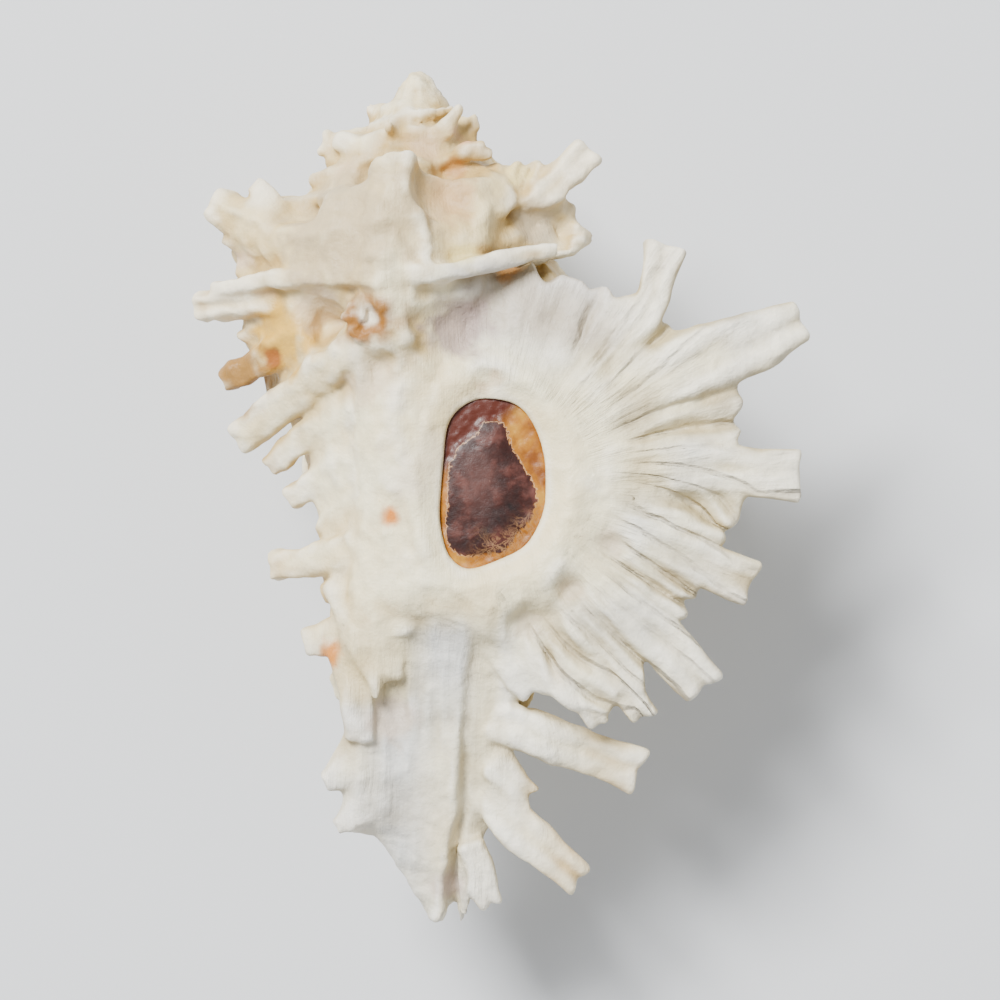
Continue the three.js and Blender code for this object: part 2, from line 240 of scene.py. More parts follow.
def whorl_table():
    """The distance to the whorl's outline over a grid of (distance from axis, distance down)."""
    wall = WHORL_OUTLINE[:-1]  # the last point, on the axis, closes the outline with straight sides
    ring = closed_curve(wall, CURVE_POINTS)
    kept = int(CURVE_POINTS * (len(wall) - 1) / len(wall)) + 1
    ring = np.vstack([ring[:kept], [WHORL_OUTLINE[-1]]])
    reach, down = np.meshgrid(
        np.arange(0, 18, TABLE_STEP), np.arange(TABLE_FIRST, TABLE_LAST, TABLE_STEP), indexing="ij")
    return -depth_inside(reach, down, ring)


def wall_reach(down):
    """The whorl's outer wall at a distance down from the apex, at full size."""
    reaches, downs = zip(*WHORL_OUTLINE[1:12])
    return float(np.interp(min(down, 41.0), downs, reaches))


def coil(clay, cord_height):
    """The whorls, with their spiral cords and the swelling at each varix."""
    table = whorl_table()
    downs = np.arange(TABLE_FIRST, TABLE_LAST, TABLE_STEP)
    cords = sum(np.exp(-(((downs - cord) / CORD_WIDTH) ** 2)) for cord in CORDS)

    def whorl(k):
        def shape(x, y, z):
            down = APEX[1] - y
            rx, rz = x - axis_x(down), z - AXIS_HEIGHT
            reach = np.hypot(rx, rz)
            turn = np.degrees(np.arctan2(rz, rx)) + 360 * k
            g = growth(turn)
            r, h = reach / g, (down - descent(turn) * (1 - smooth(down, 16, 28))) / g
            i = np.clip(r / TABLE_STEP, 0, table.shape[0] - 2)
            j = np.clip((h - TABLE_FIRST) / TABLE_STEP, 0, table.shape[1] - 2)
            i0, j0 = i.astype(np.int32), j.astype(np.int32)
            fi, fj = i - i0, j - j0
            d = (table[i0, j0] * (1 - fi) + table[i0 + 1, j0] * fi) * (1 - fj)
            d += (table[i0, j0 + 1] * (1 - fi) + table[i0 + 1, j0 + 1] * fi) * fj
            near = np.zeros_like(turn)
            lift = np.zeros_like(turn)
            for varix in VARICES:
                away = turn - varix
                near += np.exp(-((away / 16) ** 2))
                lift += np.where(away < 0, np.exp(-((away / 10) ** 2)), np.exp(-((away / 4) ** 2)))
            wall = smooth(h, 10.6, 13.0) * (1 - smooth(h, 37, 41))
            ribs = 0.12 * np.sin(np.radians(turn * 18)) * wall
            d -= cord_height * (0.4 + 0.9 * near) * np.interp(h, downs, cords) + (1.2 * lift + ribs) * wall
            d = d * g
            if k == 0:
                d = np.maximum(d, (turn - LAST_TURN) * 0.09)
                d = np.where(turn > LAST_TURN + 70, FAR, d)
            return d.astype(np.float32)

        return shape

    for k in range(0, OLDEST_WHORL - 1, -1):
        g = growth(360 * k + (LAST_TURN + 30 if k == 0 else 180))
        reach = 17.2 * g
        low = (APEX[0] - reach, APEX[1] - 44 * g, AXIS_HEIGHT - reach)
        high = (APEX[0] + reach + 1, APEX[1] - 9 * growth(360 * k - 180), AXIS_HEIGHT + reach)
        clay.add(low, high, whorl(k), soft=0.35)


# ---- chains: ridges and fronds ----
def chain(clay, points, flat=0.55, face=(0, 0, 1), seam=0.0, cleft=0.0, boxy=False, soft=0.6):
    """A flattened, tapering rod along points of (x, y, z, half width).

    flat is its half thickness over its half width, face the way its flat side looks, seam the depth of
    the groove along its middle at the tip, and cleft how far the blunt tip is notched.
    """
    points = np.array(points, float)
    place, wide = points[:, :3], points[:, 3]
    margin = wide.max() + 1.2
    face = np.array(face, float)
    last = len(place) - 2

    def shape(x, y, z):
        best = None
        for i in range(last + 1):
            run = place[i + 1] - place[i]
            length = np.linalg.norm(run)
            run = run / length
            side = np.cross(run, face)
            side /= np.linalg.norm(side)
            up = np.cross(side, run)
            qx, qy, qz = x - place[i][0], y - place[i][1], z - place[i][2]
            along = qx * run[0] + qy * run[1] + qz * run[2]
            u = qx * side[0] + qy * side[1] + qz * side[2]
            v = qx * up[0] + qy * up[1] + qz * up[2]
            t = np.clip(along / length, 0, 1)
            w = wide[i] + (wide[i + 1] - wide[i]) * t
            b = flat * w
            s = (i + t) / (last + 1)
            over = along - t * length
            if i == last and cleft:
                over = np.where(along > length, 0, over)
            if seam:
                groove = seam * (0.3 + 0.7 * s * s) * np.exp(-((u / (0.22 * w)) ** 2))
                scoop = 0.9 * seam * smooth(s, 0.86, 1.0) * np.clip(1 - np.abs(u) / (0.7 * w), 0, 1)
                v = v + (groove + scoop) * (v > -0.2 * b)
            if boxy:
                rho = np.sqrt(np.sqrt((u / w) ** 4 + (v / b) ** 4 + (over / b) ** 4))
            else:
                rho = np.sqrt((u / w) ** 2 + (v / b) ** 2 + (over / b) ** 2)
            d = (rho - 1) * b
            if i == last and cleft:
                notch = cleft * np.clip(1 - np.abs(u) / (0.75 * w), 0, 1)
                d = np.maximum(d, (along - length + notch) * 0.8)
            best = d if best is None else np.minimum(best, d)
        return best.astype(np.float32)

    clay.add(place.min(axis=0) - margin, place.max(axis=0) + margin, shape, soft)


def chains(clay, rows, **style):
    for row in rows:
        chain(clay, row, **style)


# Ridges that run from the front varix over the left flank, most of them into a frond.
# Each point is (x, y, z, half width).
LEFT_RIDGES = [
    [(-8.5, 14.8, 19.4, 1.6), (-12.0, 15.2, 16.6, 1.7), (-14.6, 16.2, 14.7, 1.4), (-16.8, 17.5, 13.7, 1.0)],
    [(-10.5, 14.0, 17.6, 1.2), (-14.0, 14.8, 14.6, 1.1), (-16.2, 15.7, 13.4, 0.6)],
    [(-11.2, 13.2, 16.8, 1.0), (-14.0, 13.4, 14.6, 0.8), (-15.5, 13.7, 13.6, 0.5)],
    [(-10.6, 15.4, 17.4, 0.8), (-12.5, 16.3, 16.1, 0.7), (-14.4, 18.5, 15.0, 0.5)],
    [(-12.0, 11.9, 16.8, 1.0), (-14.8, 11.6, 14.9, 0.85), (-17.7, 11.4, 13.6, 0.85)],
    [(-12.6, 10.8, 15.6, 0.8), (-14.2, 10.2, 14.2, 0.6), (-15.2, 9.5, 13.4, 0.4)],
    [(-10.6, 10.0, 17.2, 1.0), (-12.8, 8.8, 15.6, 1.0), (-14.6, 7.8, 14.3, 0.85), (-16.4, 6.9, 13.5, 0.75)],
    [(-5.6, 9.8, 20.4, 1.1), (-9.2, 8.3, 18.8, 1.1), (-12.0, 6.0, 16.2, 1.05), (-15.3, 3.5, 13.8, 1.0)],
    [(-8.2, 5.4, 17.9, 1.0), (-10.4, 4.4, 16.5, 0.9), (-11.9, 3.3, 15.2, 0.8), (-13.6, 1.9, 14.0, 0.7)],
    [(-8.0, 2.6, 17.4, 1.0), (-9.6, 1.7, 16.4, 0.9), (-10.9, 0.9, 15.2, 0.8), (-12.4, 0.0, 14.2, 0.7)],
    [(-7.8, 0.0, 17.2, 0.9), (-9.2, -0.9, 16.3, 0.7), (-10.8, -1.8, 15.0, 0.4)],
    [(-7.4, -2.4, 17.4, 1.1), (-9.4, -3.2, 16.4, 1.1), (-11.4, -3.6, 15.2, 0.9), (-13.5, -3.9, 14.4, 0.95)],
    [(-7.6, -4.6, 17.2, 1.0), (-9.0, -5.2, 16.0, 0.9), (-10.4, -5.5, 15.2, 0.6)],
    [(-7.6, -7.0, 17.0, 1.1), (-9.6, -7.8, 15.8, 1.0), (-11.5, -8.2, 15.0, 0.85)],
    [(-7.8, -10.2, 16.0, 1.2), (-9.6, -10.9, 15.0, 0.8)],
]
LEFT_STRIAE = [
    [(-11.6, 15.0, 18.4, 0.28), (-14.4, 16.4, 16.0, 0.25), (-16.6, 17.7, 14.6, 0.22)],
    [(-11.4, 14.4, 18.5, 0.28), (-14.2, 15.4, 16.1, 0.25), (-16.7, 16.5, 14.4, 0.22)],
    [(-11.8, 13.8, 18.0, 0.28), (-14.2, 14.5, 15.8, 0.25), (-16.2, 15.3, 14.2, 0.22)],
    [(-12.8, 12.2, 17.0, 0.25), (-15.4, 11.9, 15.4, 0.25), (-17.7, 11.7, 14.5, 0.22)],
    [(-13.2, 11.3, 16.4, 0.25), (-15.4, 11.1, 15.2, 0.25), (-17.5, 10.9, 14.4, 0.22)],
    [(-7.3, 17.4, 20.9, 0.35), (-7.4, 15.0, 21.0, 0.3), (-7.2, 13.2, 21.3, 0.25)],
    [(-4.7, 17.6, 21.3, 0.35), (-4.3, 15.2, 21.4, 0.3), (-4.4, 13.4, 21.7, 0.25)],
]
# The wall of the front varix, beside the mouth, and the flank that it stands on.
FRONT_WALL = [
    (-5.8, 17.6, 20.0, 1.5), (-6.4, 13.0, 20.2, 1.7), (-6.6, 9.0, 19.4, 1.8), (-6.6, 5.0, 18.5, 1.7),
    (-6.3, 0.5, 17.8, 1.8), (-6.6, -4.0, 17.2, 1.9), (-7.2, -8.0, 16.6, 1.8), (-7.4, -10.4, 15.6, 1.4),
]
CALLUS = [(-4.0, 8.4, 18.9, 1.3), (-5.0, 5.0, 18.6, 1.5), (-5.1, 0.5, 18.3, 1.5), (-4.4, -4.5, 17.6, 1.7)]
LOWER_CALLUS = [(-4.4, -5.0, 17.4, 1.9), (-0.6, -5.9, 17.6, 2.3), (3.0, -5.2, 17.9, 1.8)]
FLANK = [(-8.8, 8.0, 14.8, 3.5), (-8.0, 2.0, 14.5, 3.1), (-7.7, -4.0, 14.3, 2.7), (-7.6, -10.0, 13.9, 2.2)]
# The swelling under the mouth: height, centre x, centre y, half width, half length.
MOUND = [
    (9.0, 0.2, 3.0, 6.4, 8.2), (12.6, 0.9, 2.4, 7.8, 10.2), (15.6, 0.7, 1.8, 7.8, 9.8),
    (17.4, 0.1, 1.2, 6.8, 8.6), (18.8, -0.3, 0.8, 5.4, 7.2), (19.8, -0.4, 0.8, 4.4, 6.2),
]
# The shoulder cord, which crosses the front from the left varix to a spine on the right.
SHOULDER_CORD = [
    (-16.3, 12.5, 15.0, 0.45), (-13.2, 12.8, 17.5, 0.5), (-9.5, 12.8, 20.0, 0.5), (-7.4, 12.8, 21.2, 0.55),
    (-4.0, 13.0, 21.5, 0.5), (-0.9, 13.5, 20.6, 0.5), (3.3, 14.4, 19.2, 0.45),
]
FRONT_PILLAR = [(-5.2, 13.4, 20.4, 1.5), (-5.6, 16.0, 20.5, 1.4), (-6.0, 18.9, 20.2, 1.5)]
BROKEN_SPINE = [(-7.4, 10.3, 18.8, 1.4), (-7.6, 10.5, 21.2, 1.25)]
# The fan of an older varix, at the upper right, and the points of the spire.
UPPER_RIGHT = [
    [(-0.2, 14.6, 18.2, 1.0), (1.6, 17.0, 17.2, 0.9), (3.2, 18.3, 16.6, 0.85), (5.3, 20.5, 16.2, 0.95)],
    [(-0.8, 15.4, 16.2, 1.4), (1.2, 17.6, 15.2, 1.5)],
    [(1.2, 15.2, 16.6, 1.0), (3.4, 15.5, 15.8, 0.7), (5.5, 15.5, 15.2, 0.3)],
    [(1.6, 16.4, 15.6, 1.5), (4.3, 16.4, 15.0, 1.0)],
    [(-1.2, 14.2, 19.4, 0.6), (-0.9, 16.6, 18.4, 0.4), (-1.1, 19.4, 17.2, 0.3)],
]
FAN_ROOT = (-1.2, 13.8)
FAN_PLEAT = 7.0  # degrees
FAN_THICK = 1.2
# Edge of the fan: bearing, reach from its root.
FAN_EDGE = [
    (112, 4.0), (98, 5.5), (91, 5.9), (86, 5.5), (81, 6.1), (76, 5.8), (71, 6.5), (66, 6.3), (61, 7.0),
    (56, 6.9), (51, 7.8), (44, 7.2), (38, 6.2), (31, 5.6), (25, 6.0), (19, 6.4), (12, 6.4), (6, 5.2),
    (0, 3.6), (-8, 2.4),
]
SPIRE_POINTS = [
    [(-3.6, 19.2, 16.8, 0.9), (-1.6, 20.8, 17.2, 0.65), (-0.1, 23.0, 17.4, 0.5)],
    [(-3.8, 20.9, 16.2, 0.8), (-2.3, 22.6, 16.4, 0.5)],
    [(-7.4, 19.2, 16.2, 0.9), (-9.4, 19.0, 15.2, 0.7), (-10.8, 18.7, 14.6, 0.5)],
    [(-6.8, 20.0, 15.8, 0.9), (-9.3, 21.0, 14.8, 0.6)],
]
# Sharp ledges along the shoulders of the spire's whorls, and the folds that drop from them.
SPIRE_LEDGES = [
    [(-9.2, 19.9, 15.0, 0.35), (-7.4, 19.7, 16.6, 0.35), (-5.4, 19.5, 17.7, 0.4), (-3.2, 19.6, 17.6, 0.35),
     (-0.8, 20.2, 17.0, 0.35)],
    [(-8.8, 20.9, 14.6, 0.3), (-7.0, 20.8, 15.9, 0.35), (-5.4, 20.9, 16.7, 0.35), (-3.4, 21.0, 16.5, 0.35),
     (-1.0, 21.6, 16.6, 0.35)],
    [(-7.5, 21.8, 14.4, 0.3), (-6.0, 22.1, 15.4, 0.35), (-4.6, 22.5, 15.5, 0.35), (-2.9, 22.9, 14.8, 0.3)],
    [(-6.5, 20.9, 16.2, 0.3), (-6.7, 19.8, 17.2, 0.35)],
    [(-4.7, 21.2, 16.6, 0.35), (-4.6, 19.6, 17.8, 0.4)],
    [(-3.0, 21.6, 16.4, 0.3), (-2.2, 20.0, 17.4, 0.35)],
    [(-5.4, 22.6, 15.2, 0.25), (-5.7, 21.2, 16.2, 0.3)],
]
# Fronds of the spire's varices at full size: down, reach, further down at the tip, half width.
OLD_FRONDS = [(11.6, 16.4, -0.6, 2.1), (18.2, 16.6, 0.6, 1.7)]

# Fronds of the outer lip.
LIP_FRONDS = [
    [(4.6, 6.2, 19.5, 0.9), (6.6, 8.4, 19.2, 1.1), (8.2, 10.6, 18.9, 1.0), (8.9, 11.9, 18.7, 1.0),
     (9.7, 14.8, 18.3, 1.3)],
    [(5.8, 5.0, 19.4, 1.0), (9.0, 7.0, 19.1, 1.7), (12.2, 8.2, 18.7, 2.1), (14.6, 9.2, 18.3, 1.7),
     (17.5, 10.4, 17.9, 1.3)],
    [(6.4, 2.2, 19.4, 1.0), (10.0, 2.0, 19.1, 1.5), (13.4, 1.7, 18.7, 1.5), (15.2, 1.6, 18.5, 1.4),
     (17.4, 1.5, 18.2, 1.6)],
    [(6.0, -0.8, 19.3, 1.0), (9.4, -2.6, 19.0, 1.3), (12.2, -3.9, 18.6, 1.35), (14.8, -4.9, 18.2, 1.4)],
    [(4.8, -2.8, 19.2, 1.0), (7.4, -5.8, 18.9, 1.25), (9.6, -8.4, 18.5, 1.3), (11.8, -10.9, 18.0, 1.5)],
    [(3.4, -4.2, 19.1, 0.9), (5.4, -7.6, 18.8, 1.1), (7.2, -10.6, 18.3, 1.05), (8.4, -12.7, 17.9, 0.9)],
    [(2.4, -4.8, 19.0, 0.9), (3.8, -8.4, 18.6, 1.0), (5.0, -11.2, 18.1, 0.9), (5.8, -13.2, 17.8, 0.65)],
]
LIP_FLAT = [0.5, 0.32, 0.42, 0.45, 0.45, 0.5, 0.5]
LIP_CLEFT = [0.08, 0.15, 0.1, 0.15, 0.2, 0.2, 0.2]
# Creases between the folds of the lip: bearing at 7 mm and at 13 mm from the mouth's centre, depth.
CREASES = [
    (88, 90, 0.2), (72, 74, 0.3), (58, 62, 0.6), (48, 51, 0.5), (41, 42, 0.6), (33, 36, 0.4), (25, 24, 0.5),
    (19, 16, 0.9), (14, 10, 0.5), (10, 3, 0.9), (6, -2.5, 0.4), (3, -9.5, 1.0), (-6, -14.5, 0.7),
    (-14, -22.5, 0.5), (-22, -28, 0.9), (-31, -32, 0.8), (-38, -37.5, 0.9), (-46, -42.4, 0.5),
    (-56, -49.5, 0.9), (-64, -54, 0.5), (-71, -57, 0.9), (-77, -66, 0.9), (-84, -76, 0.4),
]
GROOVE_WIDTH = 0.3
CREASE_NEAR, CREASE_FAR = 7, 13  # mm from the mouth's centre, where the bearings are given
TOOTH_SPACING, TOOTH_HEIGHT = 2.6, 0.32  # of the fine teeth on the web's edge, in degrees and mm
CRUMBS = 40  # in the stump of the broken spine
# Edge of the web between the fronds: bearing, reach from the mouth's centre.
WEB_EDGE = [
    (108, 10.6), (100, 11.4), (91, 12.2), (85, 12.1), (80, 12.8), (75, 12.2), (69, 13.2), (64, 12.6),
    (60, 13.5), (57, 13.1), (53, 14.0), (46, 13.6), (41, 13.9), (38, 15.0), (35, 15.5), (28, 16.0),
    (20, 15.0), (18, 15.2), (16, 14.3), (13, 14.9), (10, 14.0), (4, 14.8), (-3, 14.4), (-8, 14.4),
    (-11, 13.7), (-13, 14.0), (-16, 13.0), (-21, 13.8), (-26, 13.0), (-29, 13.5), (-31, 12.7), (-34, 13.6),
    (-38, 12.9), (-44, 13.8), (-49, 13.2), (-53, 14.6), (-58, 14.0), (-62, 14.7), (-66, 14.4), (-70, 13.8),
    (-74, 12.6), (-78, 12.2), (-82, 12.6), (-88, 11.0),
]

# The canal: y, left edge, right edge, height of its face, thickness.
CANAL = [
    (1.0, -6.5, 0.5, 17.6, 4.5), (-5.0, -8.6, 2.2, 18.6, 6.0), (-8.0, -8.6, 1.9, 17.9, 5.5),
    (-12.0, -8.9, 0.9, 16.9, 4.6), (-14.0, -9.4, 0.6, 16.5, 4.2), (-15.4, -9.9, 0.4, 16.1, 3.8),
    (-16.3, -10.3, 0.2, 15.9, 3.6), (-17.0, -9.0, 0.1, 15.7, 3.4), (-18.4, -8.7, -0.3, 15.3, 3.1),
    (-19.1, -9.6, -0.6, 15.1, 3.0), (-19.7, -7.4, -0.8, 14.9, 2.8), (-22.0, -5.7, -1.2, 14.2, 2.2),
    (-23.6, -4.8, -1.8, 13.9, 1.8), (-24.9, -4.0, -2.2, 13.5, 1.3),
]
# The slit: y, x, half width, depth. Over its upper half it is only the edge of the lap.
SLIT = [
    (-6.5, -1.5, 0.1, 0.1), (-9.0, -1.6, 0.14, 0.25), (-12.0, -1.9, 0.17, 0.35), (-14.0, -2.05, 0.17, 0.45),
    (-17.0, -2.35, 0.24, 0.6), (-20.0, -2.6, 0.34, 0.7), (-23.0, -2.8, 0.42, 0.8), (-23.7, -2.85, 0.4, 1.2),
    (-24.0, -2.85, 0.32, 3.4), (-26.0, -2.9, 0.4, 3.6),
]
CANAL_FRONDS = [
    [(0.2, -13.0, 16.0, 1.3), (2.4, -13.7, 16.1, 1.4), (5.4, -14.8, 15.8, 1.25), (8.2, -16.0, 15.4, 1.4)],
    [(-0.2, -15.6, 15.6, 1.0), (0.9, -16.7, 15.8, 0.75), (2.0, -17.5, 15.6, 0.65)],
    [(-0.7, -17.4, 15.2, 1.0), (0.6, -18.8, 15.4, 1.3), (2.6, -20.4, 15.2, 1.15), (4.7, -22.4, 14.9, 1.0)],
    [(-1.7, -20.3, 14.7, 0.8), (-0.9, -22.4, 14.4, 0.85), (-0.4, -23.8, 14.2, 0.7)],
    [(-2.0, -21.0, 14.4, 0.4), (-2.2, -24.7, 13.8, 0.3)],
]
CANAL_TEETH = [
    [(-8.2, -15.4, 15.4, 1.1), (-9.4, -16.1, 15.4, 0.8), (-10.4, -16.5, 15.4, 0.5)],
    [(-7.6, -17.6, 15.0, 1.2), (-8.7, -18.6, 15.0, 0.8), (-9.7, -19.2, 14.9, 0.5)],
]
# Overlapping scales on the left of the canal.
SCALES = [
    [(-8.8, -5.0, 16.4, 1.6), (-7.3, -8.0, 17.3, 1.8), (-6.4, -11.1, 17.5, 1.15)],
    [(-8.7, -8.6, 16.2, 1.5), (-8.1, -11.2, 16.6, 1.35), (-8.2, -13.6, 16.4, 1.0)],
    [(-6.2, -5.4, 17.6, 0.9), (-5.7, -7.6, 18.2, 0.7)],
]

# Outline of the operculum, a D with its straight side at the left.
OPERCULUM_OUTLINE = [
    (-3.65, -0.4), (-3.4, 2.6), (-3.05, 4.6), (-2.0, 5.7), (-0.6, 6.0), (0.9, 5.7), (1.9, 4.7), (2.6, 3.0),
    (2.82, 1.0), (2.6, -0.9), (1.6, -2.7), (0.0, -3.6), (-1.9, -4.15), (-3.0, -3.4), (-3.5, -2.0),
]


# Outline of its dark, thick core.
CORE_OUTLINE = [
    (-1.0, 4.5), (0.1, 4.5), (0.5, 3.9), (0.7, 3.0), (1.5, 1.9), (2.15, 0.4), (1.9, -1.0), (1.0, -2.1),
    (0.4, -2.9), (-0.8, -3.2), (-2.3, -3.2), (-3.1, -2.3), (-3.1, -0.3), (-2.9, 1.9), (-2.3, 3.1),
    (-1.5, 3.7),
]


def inset(points, outline):
    """How far each point lies inside a smooth closed outline; negative outside."""
    return depth_inside(*points.T, closed_curve(outline, 160))


def outline_reach():
    """Bearing from the mouth's centre to the operculum's edge, as two arrays for interpolation."""
    ring = closed_curve(OPERCULUM_OUTLINE, 180) - MOUTH
    bearing = np.degrees(np.arctan2(ring[:, 1], ring[:, 0]))
    order = np.argsort(bearing)
    return bearing[order], np.hypot(ring[:, 0], ring[:, 1])[order]


EDGE_BEARING, EDGE_REACH = outline_reach()


def edge_reach(bearing):
    return np.interp(bearing, EDGE_BEARING, EDGE_REACH, period=360)


def from_mouth(x, y):
    """Bearing and reach from the mouth's centre."""
    dx, dy = x - MOUTH[0], y - MOUTH[1]
    return np.degrees(np.arctan2(dy, dx)), np.hypot(dx, dy)


def sheet(off, half_thick, past, rounding):
    """Distance to a sheet, from how far a place is off its middle and past its edge, which is rounded."""
    flat = off - half_thick + rounding
    outside = np.hypot(np.maximum(flat, 0), np.maximum(past * 0.8 + rounding, 0))
    return (outside - rounding + np.minimum(np.maximum(flat, past + rounding), 0)).astype(np.float32)


def among_creases(bearing, reach):
    """Place among the creases of the lip, counted upwards, with the nearest's depth and how far off it is."""
    inner, outer, depths = rising(CREASES)
    spread = np.clip((reach - CREASE_NEAR) / (CREASE_FAR - CREASE_NEAR), 0, 1.4)
    at_inner = bearing + (np.interp(bearing, outer, inner) - bearing) * spread  # followed back to the mouth
    place = np.interp(at_inner, inner, np.arange(len(inner)))
    nearest = np.rint(place).astype(int)
    late = np.random.default_rng(6).uniform(0, 2.4, len(inner))[nearest]  # how late each crease begins
    away = np.abs(at_inner - inner[nearest]) * np.radians(1) * reach
    return place, depths[nearest] * smooth(reach, 5.8 + late, 8.2 + late), away


def lip(clay, fold):
    """The collar round the mouth and the folded web of the outer lip, as one sheet."""
    edge_bearing, edge_out = rising(WEB_EDGE)
    tooth_bearing = np.arange(-100, 121, TOOTH_SPACING)
    teeth = TOOTH_HEIGHT * np.random.default_rng(8).uniform(-1, 1, len(tooth_bearing))

    def shape(x, y, z):
        bearing, reach = from_mouth(x, y)
        place, depth, away = among_creases(bearing, reach)
        groove = depth * np.exp(-((away / GROOVE_WIDTH) ** 2))
        swell = 0.5 * np.cos(2 * np.pi * place)
        pleat = 0.5 - (place - np.floor(place))  # each pleat laps over the one below it
        beyond = reach - edge_reach(bearing)
        collar = 0.5 * np.exp(-((beyond - 1.3) ** 2))
        base = RIM_TOP - 0.45 - 0.06 * np.clip(beyond - 2, 0, 12) - 0.5 * smooth(reach, 9, 15)
        base -= 0.3 * np.exp(-((np.maximum(beyond, 0) / 0.7) ** 2))
        base -= 1.8 * smooth(-bearing, 60, 92) * smooth(reach, 5, 9)
        base -= 0.9 * smooth(bearing, 78, 105) * smooth(reach, 6, 10)
        calm = 1 - 0.75 * smooth(bearing, 58, 72)
        folds = fold * calm * smooth(beyond, 3.0, 6.5) * (0.2 - 0.25 * swell + 0.6 * depth * pleat - groove)
        thick = 1.6 + 2.2 * (1 - smooth(reach, 5, 9)) - 0.6 * smooth(reach, 9, 14) + 0.35 * folds
        middle = base + collar + folds - thick / 2
        edge = np.interp(bearing, edge_bearing, edge_out)
        edge = edge + np.interp(bearing, tooth_bearing, teeth) * smooth(reach, 10, 12)
        behind = np.maximum(smooth(bearing, 104, 124), smooth(-bearing, 86, 104))  # only the collar is left
        edge = edge * (1 - behind) + (edge_reach(bearing) + 1.6) * behind
        return sheet(np.abs(z - middle), thick / 2, reach - edge, 0.15)

    clay.add((-6.2, -14.5, 15), (17.0, 16.5, 21.6), shape, soft=0.5)


def fan(clay, fold):
    """The pleated sheet of the older varix at the upper right, dished between blade and lower edge."""
    edge_bearing, edge_out = rising(FAN_EDGE)

    def shape(x, y, z):
        dx, dy = x - FAN_ROOT[0], y - FAN_ROOT[1]
        bearing, reach = np.degrees(np.arctan2(dy, dx)), np.hypot(dx, dy)
        place = bearing / FAN_PLEAT + 0.3 * np.sin(bearing / 9.0)
        pleat = 0.5 - (place - np.floor(place))
        away = (place - np.rint(place)) * FAN_PLEAT * np.radians(1) * reach
        groove = np.exp(-((away / 0.25) ** 2))
        dish = np.exp(-(((bearing - 24) / 13) ** 2)) * smooth(reach, 1.2, 2.6)
        dish *= 1 - 0.6 * smooth(reach, 5.0, 6.4)
        top = 18.9 - 0.34 * reach - 1.5 * dish + fold * 0.6 * (pleat - groove) * smooth(reach, 1.5, 3.5)
        past = reach - np.interp(bearing, edge_bearing, edge_out)
        return sheet(np.abs(z - top + FAN_THICK / 2), FAN_THICK / 2, past, 0.1)

    clay.add((-3.6, 12.6, 14), (6.6, 21.2, 20.2), shape, soft=0.35)


def mound(clay):
    """The swelling under the mouth."""
    heights, *sizes = np.array(MOUND).T
    low, high = heights[0], 19.6

    def shape(x, y, z):
        cx, cy, a, b = (np.interp(z, heights, size) for size in sizes)
        rho = np.hypot((x - cx) / a, (y - cy) / b)
        d = (rho - 1) * np.minimum(a, b) * 0.9
        return np.maximum(np.maximum(d, z - high), low - z).astype(np.float32)

    clay.add((-9, -10, 8), (10.5, 14, 20.5), shape, soft=1.0)


def canal(clay):
    """The flattened canal, whose left side laps over the right one, with the slit between them."""
    stations, *sizes = rising(CANAL)
    slit_stations, *slit_sizes = rising(SLIT)

    def shape(x, y, z):
        left, right, top, thick = (np.interp(y, stations, size) for size in sizes)
        lie, half, deep = (np.interp(y, slit_stations, size) for size in slit_sizes)
        share = np.clip((x - left) / (right - left), 0, 1)
        dome = 1 - np.abs(2 * share - 1) ** 2.6
        lap = 0.45 * smooth(x, lie - 2.2, lie - 0.1) * (1 - smooth(x, lie - 0.1, lie + 0.15))
        gap = deep * (1 - smooth(np.abs(x - lie), half - 0.1, half + 0.1))
        face = top - 0.8 + 0.8 * dome + lap * smooth(-y, 6.5, 8.5) - gap
        under = top - 1.3 - 0.65 * thick * np.sqrt(np.clip(1 - (2 * share - 1) ** 2, 0, 1))
        d = np.maximum(z - face, under - z)
        d = np.maximum(d, np.maximum(left - x, x - right) * 0.7)
        return np.maximum(d, CANAL[-1][0] - y).astype(np.float32)

    clay.add((-11.5, -25.6, 9), (4.5, 2.0, 20), shape, soft=0.7)


def fronds_of(clay, turn, rows, flat=0.5):
    """Fronds on a varix: (down, reach, further down at the tip, half width) in millimetres."""
    a = math.radians(turn)
    face = (-math.sin(a), 0, math.cos(a))
    g = growth(turn)
    for down, reach, further, half in rows:
        wall = g * wall_reach(down / g)
        points = [
            (*around(turn, 0.75 * wall, down), 1.15 * half),
            (*around(turn, wall + 0.35 * (reach - wall), down + 0.3 * further), 0.9 * half),
            (*around(turn, reach, down + further), 1.05 * half),
        ]
        chain(clay, points, flat=flat, face=face, seam=0.15 * half, cleft=0.2 * half, boxy=True, soft=0.4)


# Body fronds of a varix at full size, like OLD_FRONDS above, which are those of the spire.
CORD_FRONDS = [
    (11.8, 17.6, -1.0, 1.8), (18.2, 18.0, 0.8, 1.4), (22.8, 16.4, 1.6, 1.2), (27.0, 15.0, 2.2, 1.2),
    (31.4, 12.4, 1.4, 1.0), (35.2, 11.2, 1.2, 1.0), (40.0, 10.6, 1.0, 1.2),
]


def dorsal_and_spire(clay):
    """The fronds of the two varices on the back, of which the upper four are feet, and those of the spire."""
    for turn in DORSAL_VARICES:
        g = growth(turn)
        rows = [(down * g, GROUND_REACH if i < 4 else reach * g, further * g, half * g)
                for i, (down, reach, further, half) in enumerate(CORD_FRONDS)]
        fronds_of(clay, turn, rows)
    for turn in SPIRE_VARICES:
        g = growth(turn)
        fronds_of(clay, turn, [tuple(size * g for size in row) for row in OLD_FRONDS], flat=0.6)


